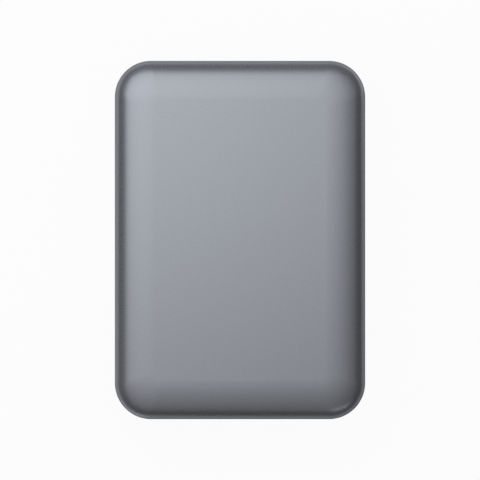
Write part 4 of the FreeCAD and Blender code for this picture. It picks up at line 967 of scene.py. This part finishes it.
for node, body, head_way, shank, pitch, height, shoulder in SCREWS:
    screws = [measured(box, head_way, height) for box in separate_solids(node)]
    length, head = screws[0][:2]
    one = screw(shank, pitch, length, head, height, shoulder)
    piece = new_piece("threaded_" + node, gathered(one, [place for *_, place in screws]), "screw_steel")
    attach(piece, body)
    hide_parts(node)

# %% [markdown]
# ## Contacts in the ports
# A USB-C tongue carries twelve flat contacts on each face, half a millimetre apart, and the SATA plug
# has seven for signals and fifteen for power. Stripes of colour could stand for them, but a bar with
# broken edges catches the light as the plated metal does. The bars lie almost flush in the plastic, so
# each is sunk by half of its thickness.

# %% Gold-plated bars
BAR_THICK = 0.06
BAR_EDGE = BAR_THICK / 4
USB_COUNT = 12
USB_PITCH = 0.5
USB_BAR = (0.28, 3.8)
USB_TONGUE_FACES = (-0.35, 0.35)
USB_BACK = 0.5
SATA_PITCH = 1.27
SATA_BAR = (0.7, 4.8)
SATA_TONGUES = ((-27.4, 15), (-8.9, 7))
SATA_TONGUE_TOP = 10.1
SATA_BACK = 0.8


def add_block(shape, middle, size, edge):
    """Block about a middle, in millimetres, with its edges broken."""
    place = at(middle) @ Matrix.Diagonal((*[side * MM for side in size], 1.0))
    made = bmesh.ops.create_cube(shape, size=1.0, matrix=place)["verts"]
    edges = list(dict.fromkeys(e for v in made for e in v.link_edges))
    bmesh.ops.bevel(shape, geom=edges, offset=edge * MM, offset_type="OFFSET", segments=1, profile=0.5,
                    affect="EDGES", material=-1)


def in_row(count, pitch):
    """Places along a row about its middle."""
    return [(k - (count - 1) / 2) * pitch for k in range(count)]


def box_mm(node):
    """Lowest and highest corner of a piece, in millimetres."""
    return [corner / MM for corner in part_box(node)]


low, high = box_mm("usb_tongue")
middle = (low + high) / 2
shape = bmesh.new()
for x in in_row(USB_COUNT, USB_PITCH):
    for face in USB_TONGUE_FACES:
        bar = (middle.x + x, high.y - USB_BACK - USB_BAR[1] / 2, middle.z + face)
        add_block(shape, bar, (*USB_BAR, BAR_THICK), BAR_EDGE)
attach(new_piece("usb_contacts", shape, "copper_wire", "contact_gold"), "enclosure")

plug_end = box_mm("sata_plug")[1].y
shape = bmesh.new()
for tongue, count in SATA_TONGUES:
    for x in in_row(count, SATA_PITCH):
        bar = (tongue + x, plug_end - SATA_BACK - SATA_BAR[1] / 2, SATA_TONGUE_TOP)
        add_block(shape, bar, (*SATA_BAR, BAR_THICK), BAR_EDGE)
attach(new_piece("sata_contacts", shape, "copper_wire", "contact_gold"), "enclosure")

# %% [markdown]
# ## The spring in the power jack
# The barrel of the plug is gripped by a leaf that bows into the bore. It is a strip of sheet, so it
# is made as one: a line of points is drawn across into a ribbon, and the ribbon gets its thickness. A
# bent block would need its every bend worked out twice, once for each face.

# %% A leaf spring
LEAF_WIDTH = 1.6
LEAF_THICK = 0.2
LEAF_LINE = [(-0.7, 2.6), (-2.4, 2.55), (-4.2, 2.1), (-5.6, 1.95), (-7.0, 2.15), (-9.0, 2.6)]


def ribbon(points, across, thickness):
    """Strip of sheet along a line of points, in millimetres, with a width and a thickness."""
    shape = bmesh.new()
    line = [shape.verts.new(Vector(point) * MM) for point in points]
    steps = [shape.edges.new(pair) for pair in zip(line, line[1:])]
    drawn = bmesh.ops.extrude_edge_only(shape, edges=steps)["geom"]
    bmesh.ops.translate(shape, vec=Vector(across) * MM, verts=verts_in(drawn))
    bmesh.ops.recalc_face_normals(shape, faces=shape.faces)
    bmesh.ops.solidify(shape, geom=shape.faces[:], thickness=thickness * MM)
    return shape


low, high = box_mm("power_jack_pin")
bore = (low + high) / 2
mouth = box_mm("power_jack_body")[1].y
leaf_line = [(bore.x - LEAF_WIDTH / 2, mouth + y, bore.z + z) for y, z in LEAF_LINE]
leaf = ribbon(leaf_line, (LEAF_WIDTH, 0.0, 0.0), LEAF_THICK)
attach(new_piece("jack_spring", leaf, "port_steel"), "enclosure")

# %% [markdown]
# ## The flexible circuit
# A strip of film carries the head signals from the moving arm to the fixed bracket in a half loop. It
# could be simulated as cloth, but half a turn is its true shape at rest: the strip's edge is spun and
# given the thickness of the film. It is made in its rest shape as one fixed piece.

# %% A strip of film in a half loop
FLEX_STEPS = 36
FLEX_THICK = 0.12 * MM

low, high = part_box("flex_cable")
middle = Vector(((low.x + high.x) / 2, low.y, 0.0))
shape = bmesh.new()
edge = [shape.verts.new((high.x - FLEX_THICK / 2, low.y, z)) for z in (low.z, high.z)]
shape.edges.new(edge)
bmesh.ops.spin(shape, geom=shape.verts[:] + shape.edges[:], cent=middle, axis=(0, 0, 1), dvec=(0, 0, 0),
               angle=pi, steps=FLEX_STEPS)
bmesh.ops.recalc_face_normals(shape, faces=shape.faces)
bmesh.ops.solidify(shape, geom=shape.faces[:], thickness=FLEX_THICK)
flex = new_piece("flex_strip", shape, "flex_amber")
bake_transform(flex)
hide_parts("flex_cable")

# %% [markdown]
# ## Leads of the chips
# Three of the chips stand on bent leads, one every half millimetre along each side. A comb-shaped
# sheet could be folded for each side, but one lead is quicker: a short ribbon with two bends, a dozen
# faces in all, copied along the four sides of each chip.

# %% Bent leads
LEAD_PITCH = 0.5
LEAD_WIDTH = 0.2
LEAD_THICK = 0.1
# Distances from the side of a chip at which a lead starts, bends down, bends out again and ends
LEAD_BENDS = (-0.1, 0.25, 0.4, 0.8)
LEADS = {"main_controller_chip": 30, "motor_driver_chip": 16, "bridge_chip": 14}


def lead(rise):
    """One lead, in millimetres, from the side of a chip at the origin out to its foot on the board."""
    half, sole = LEAD_WIDTH / 2, LEAD_THICK / 2
    heights = (rise, rise, sole, sole)
    line = [(x, -half, z) for x, z in zip(LEAD_BENDS, heights)]
    return mesh_of(ribbon(line, (0.0, LEAD_WIDTH, 0.0), LEAD_THICK), "lead")


for chip, count in LEADS.items():
    low, high = box_mm(chip)
    foot = ((low.x + high.x) / 2, (low.y + high.y) / 2, low.z)
    places = []
    for quarter in range(4):
        side = at(foot, Matrix.Rotation(quarter * pi / 2, 4, "Z"))
        places += [side @ at(((high.x - low.x) / 2, y, 0.0)) for y in in_row(count, LEAD_PITCH)]
    leads = gathered(lead((high.z - low.z) / 2), places)
    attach(new_piece(chip + "_leads", leads, "port_steel"), "enclosure")

# %% [markdown]
# ## Small parts on the boards
# Between the chips lie small two-ended parts: a ceramic body with a tinned cap on each end. They could
# be left to the pattern of the board, but they stand up from it and throw small shadows. Bodies and
# caps are two pieces, because each has its own finish.

# %% Ceramic bodies and tinned caps
PART_SIZE = (1.0, 0.8, 0.6)
CAP_SIZE = (0.3, 0.84, 0.64)
PART_EDGE = 0.06
# Board, columns and rows of each field of parts
PART_FIELDS = [
    ("bridge_board", (-22.5, -20.0, -7.5, -5.0), (75.5, 77.5, 79.5)),
    ("bridge_board", (8.0, 10.5, 13.0, 15.5), (70.5, 73.0)),
    ("controller_board", range(-26, 27, 4), (-8.0, 22.0)),
]

bodies, caps = bmesh.new(), bmesh.new()
for board, columns, rows in PART_FIELDS:
    top = box_mm(board)[1].z
    for x, y in product(columns, rows):
        add_block(bodies, (x, y, top + PART_SIZE[2] / 2), PART_SIZE, PART_EDGE)
        for end in (-PART_SIZE[0] / 2, PART_SIZE[0] / 2):
            add_block(caps, (x + end, y, top + CAP_SIZE[2] / 2), CAP_SIZE, PART_EDGE)
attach(new_piece("small_part_bodies", bodies, "chip_epoxy", "ceramic"), "enclosure")
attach(new_piece("small_part_caps", caps, "port_steel"), "enclosure")

# %% [markdown]
# ## Sizes
# What was added must not make the drive larger than its CAD model. The box of everything shown is
# measured again, and the largest change from the CAD model's box is printed.

# %% Sizes before and after
visual_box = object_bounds()
grown = max(abs(a - b) for cad, visual in zip(cad_box, visual_box) for a, b in zip(cad, visual))
print("largest change of size", grown, "m")
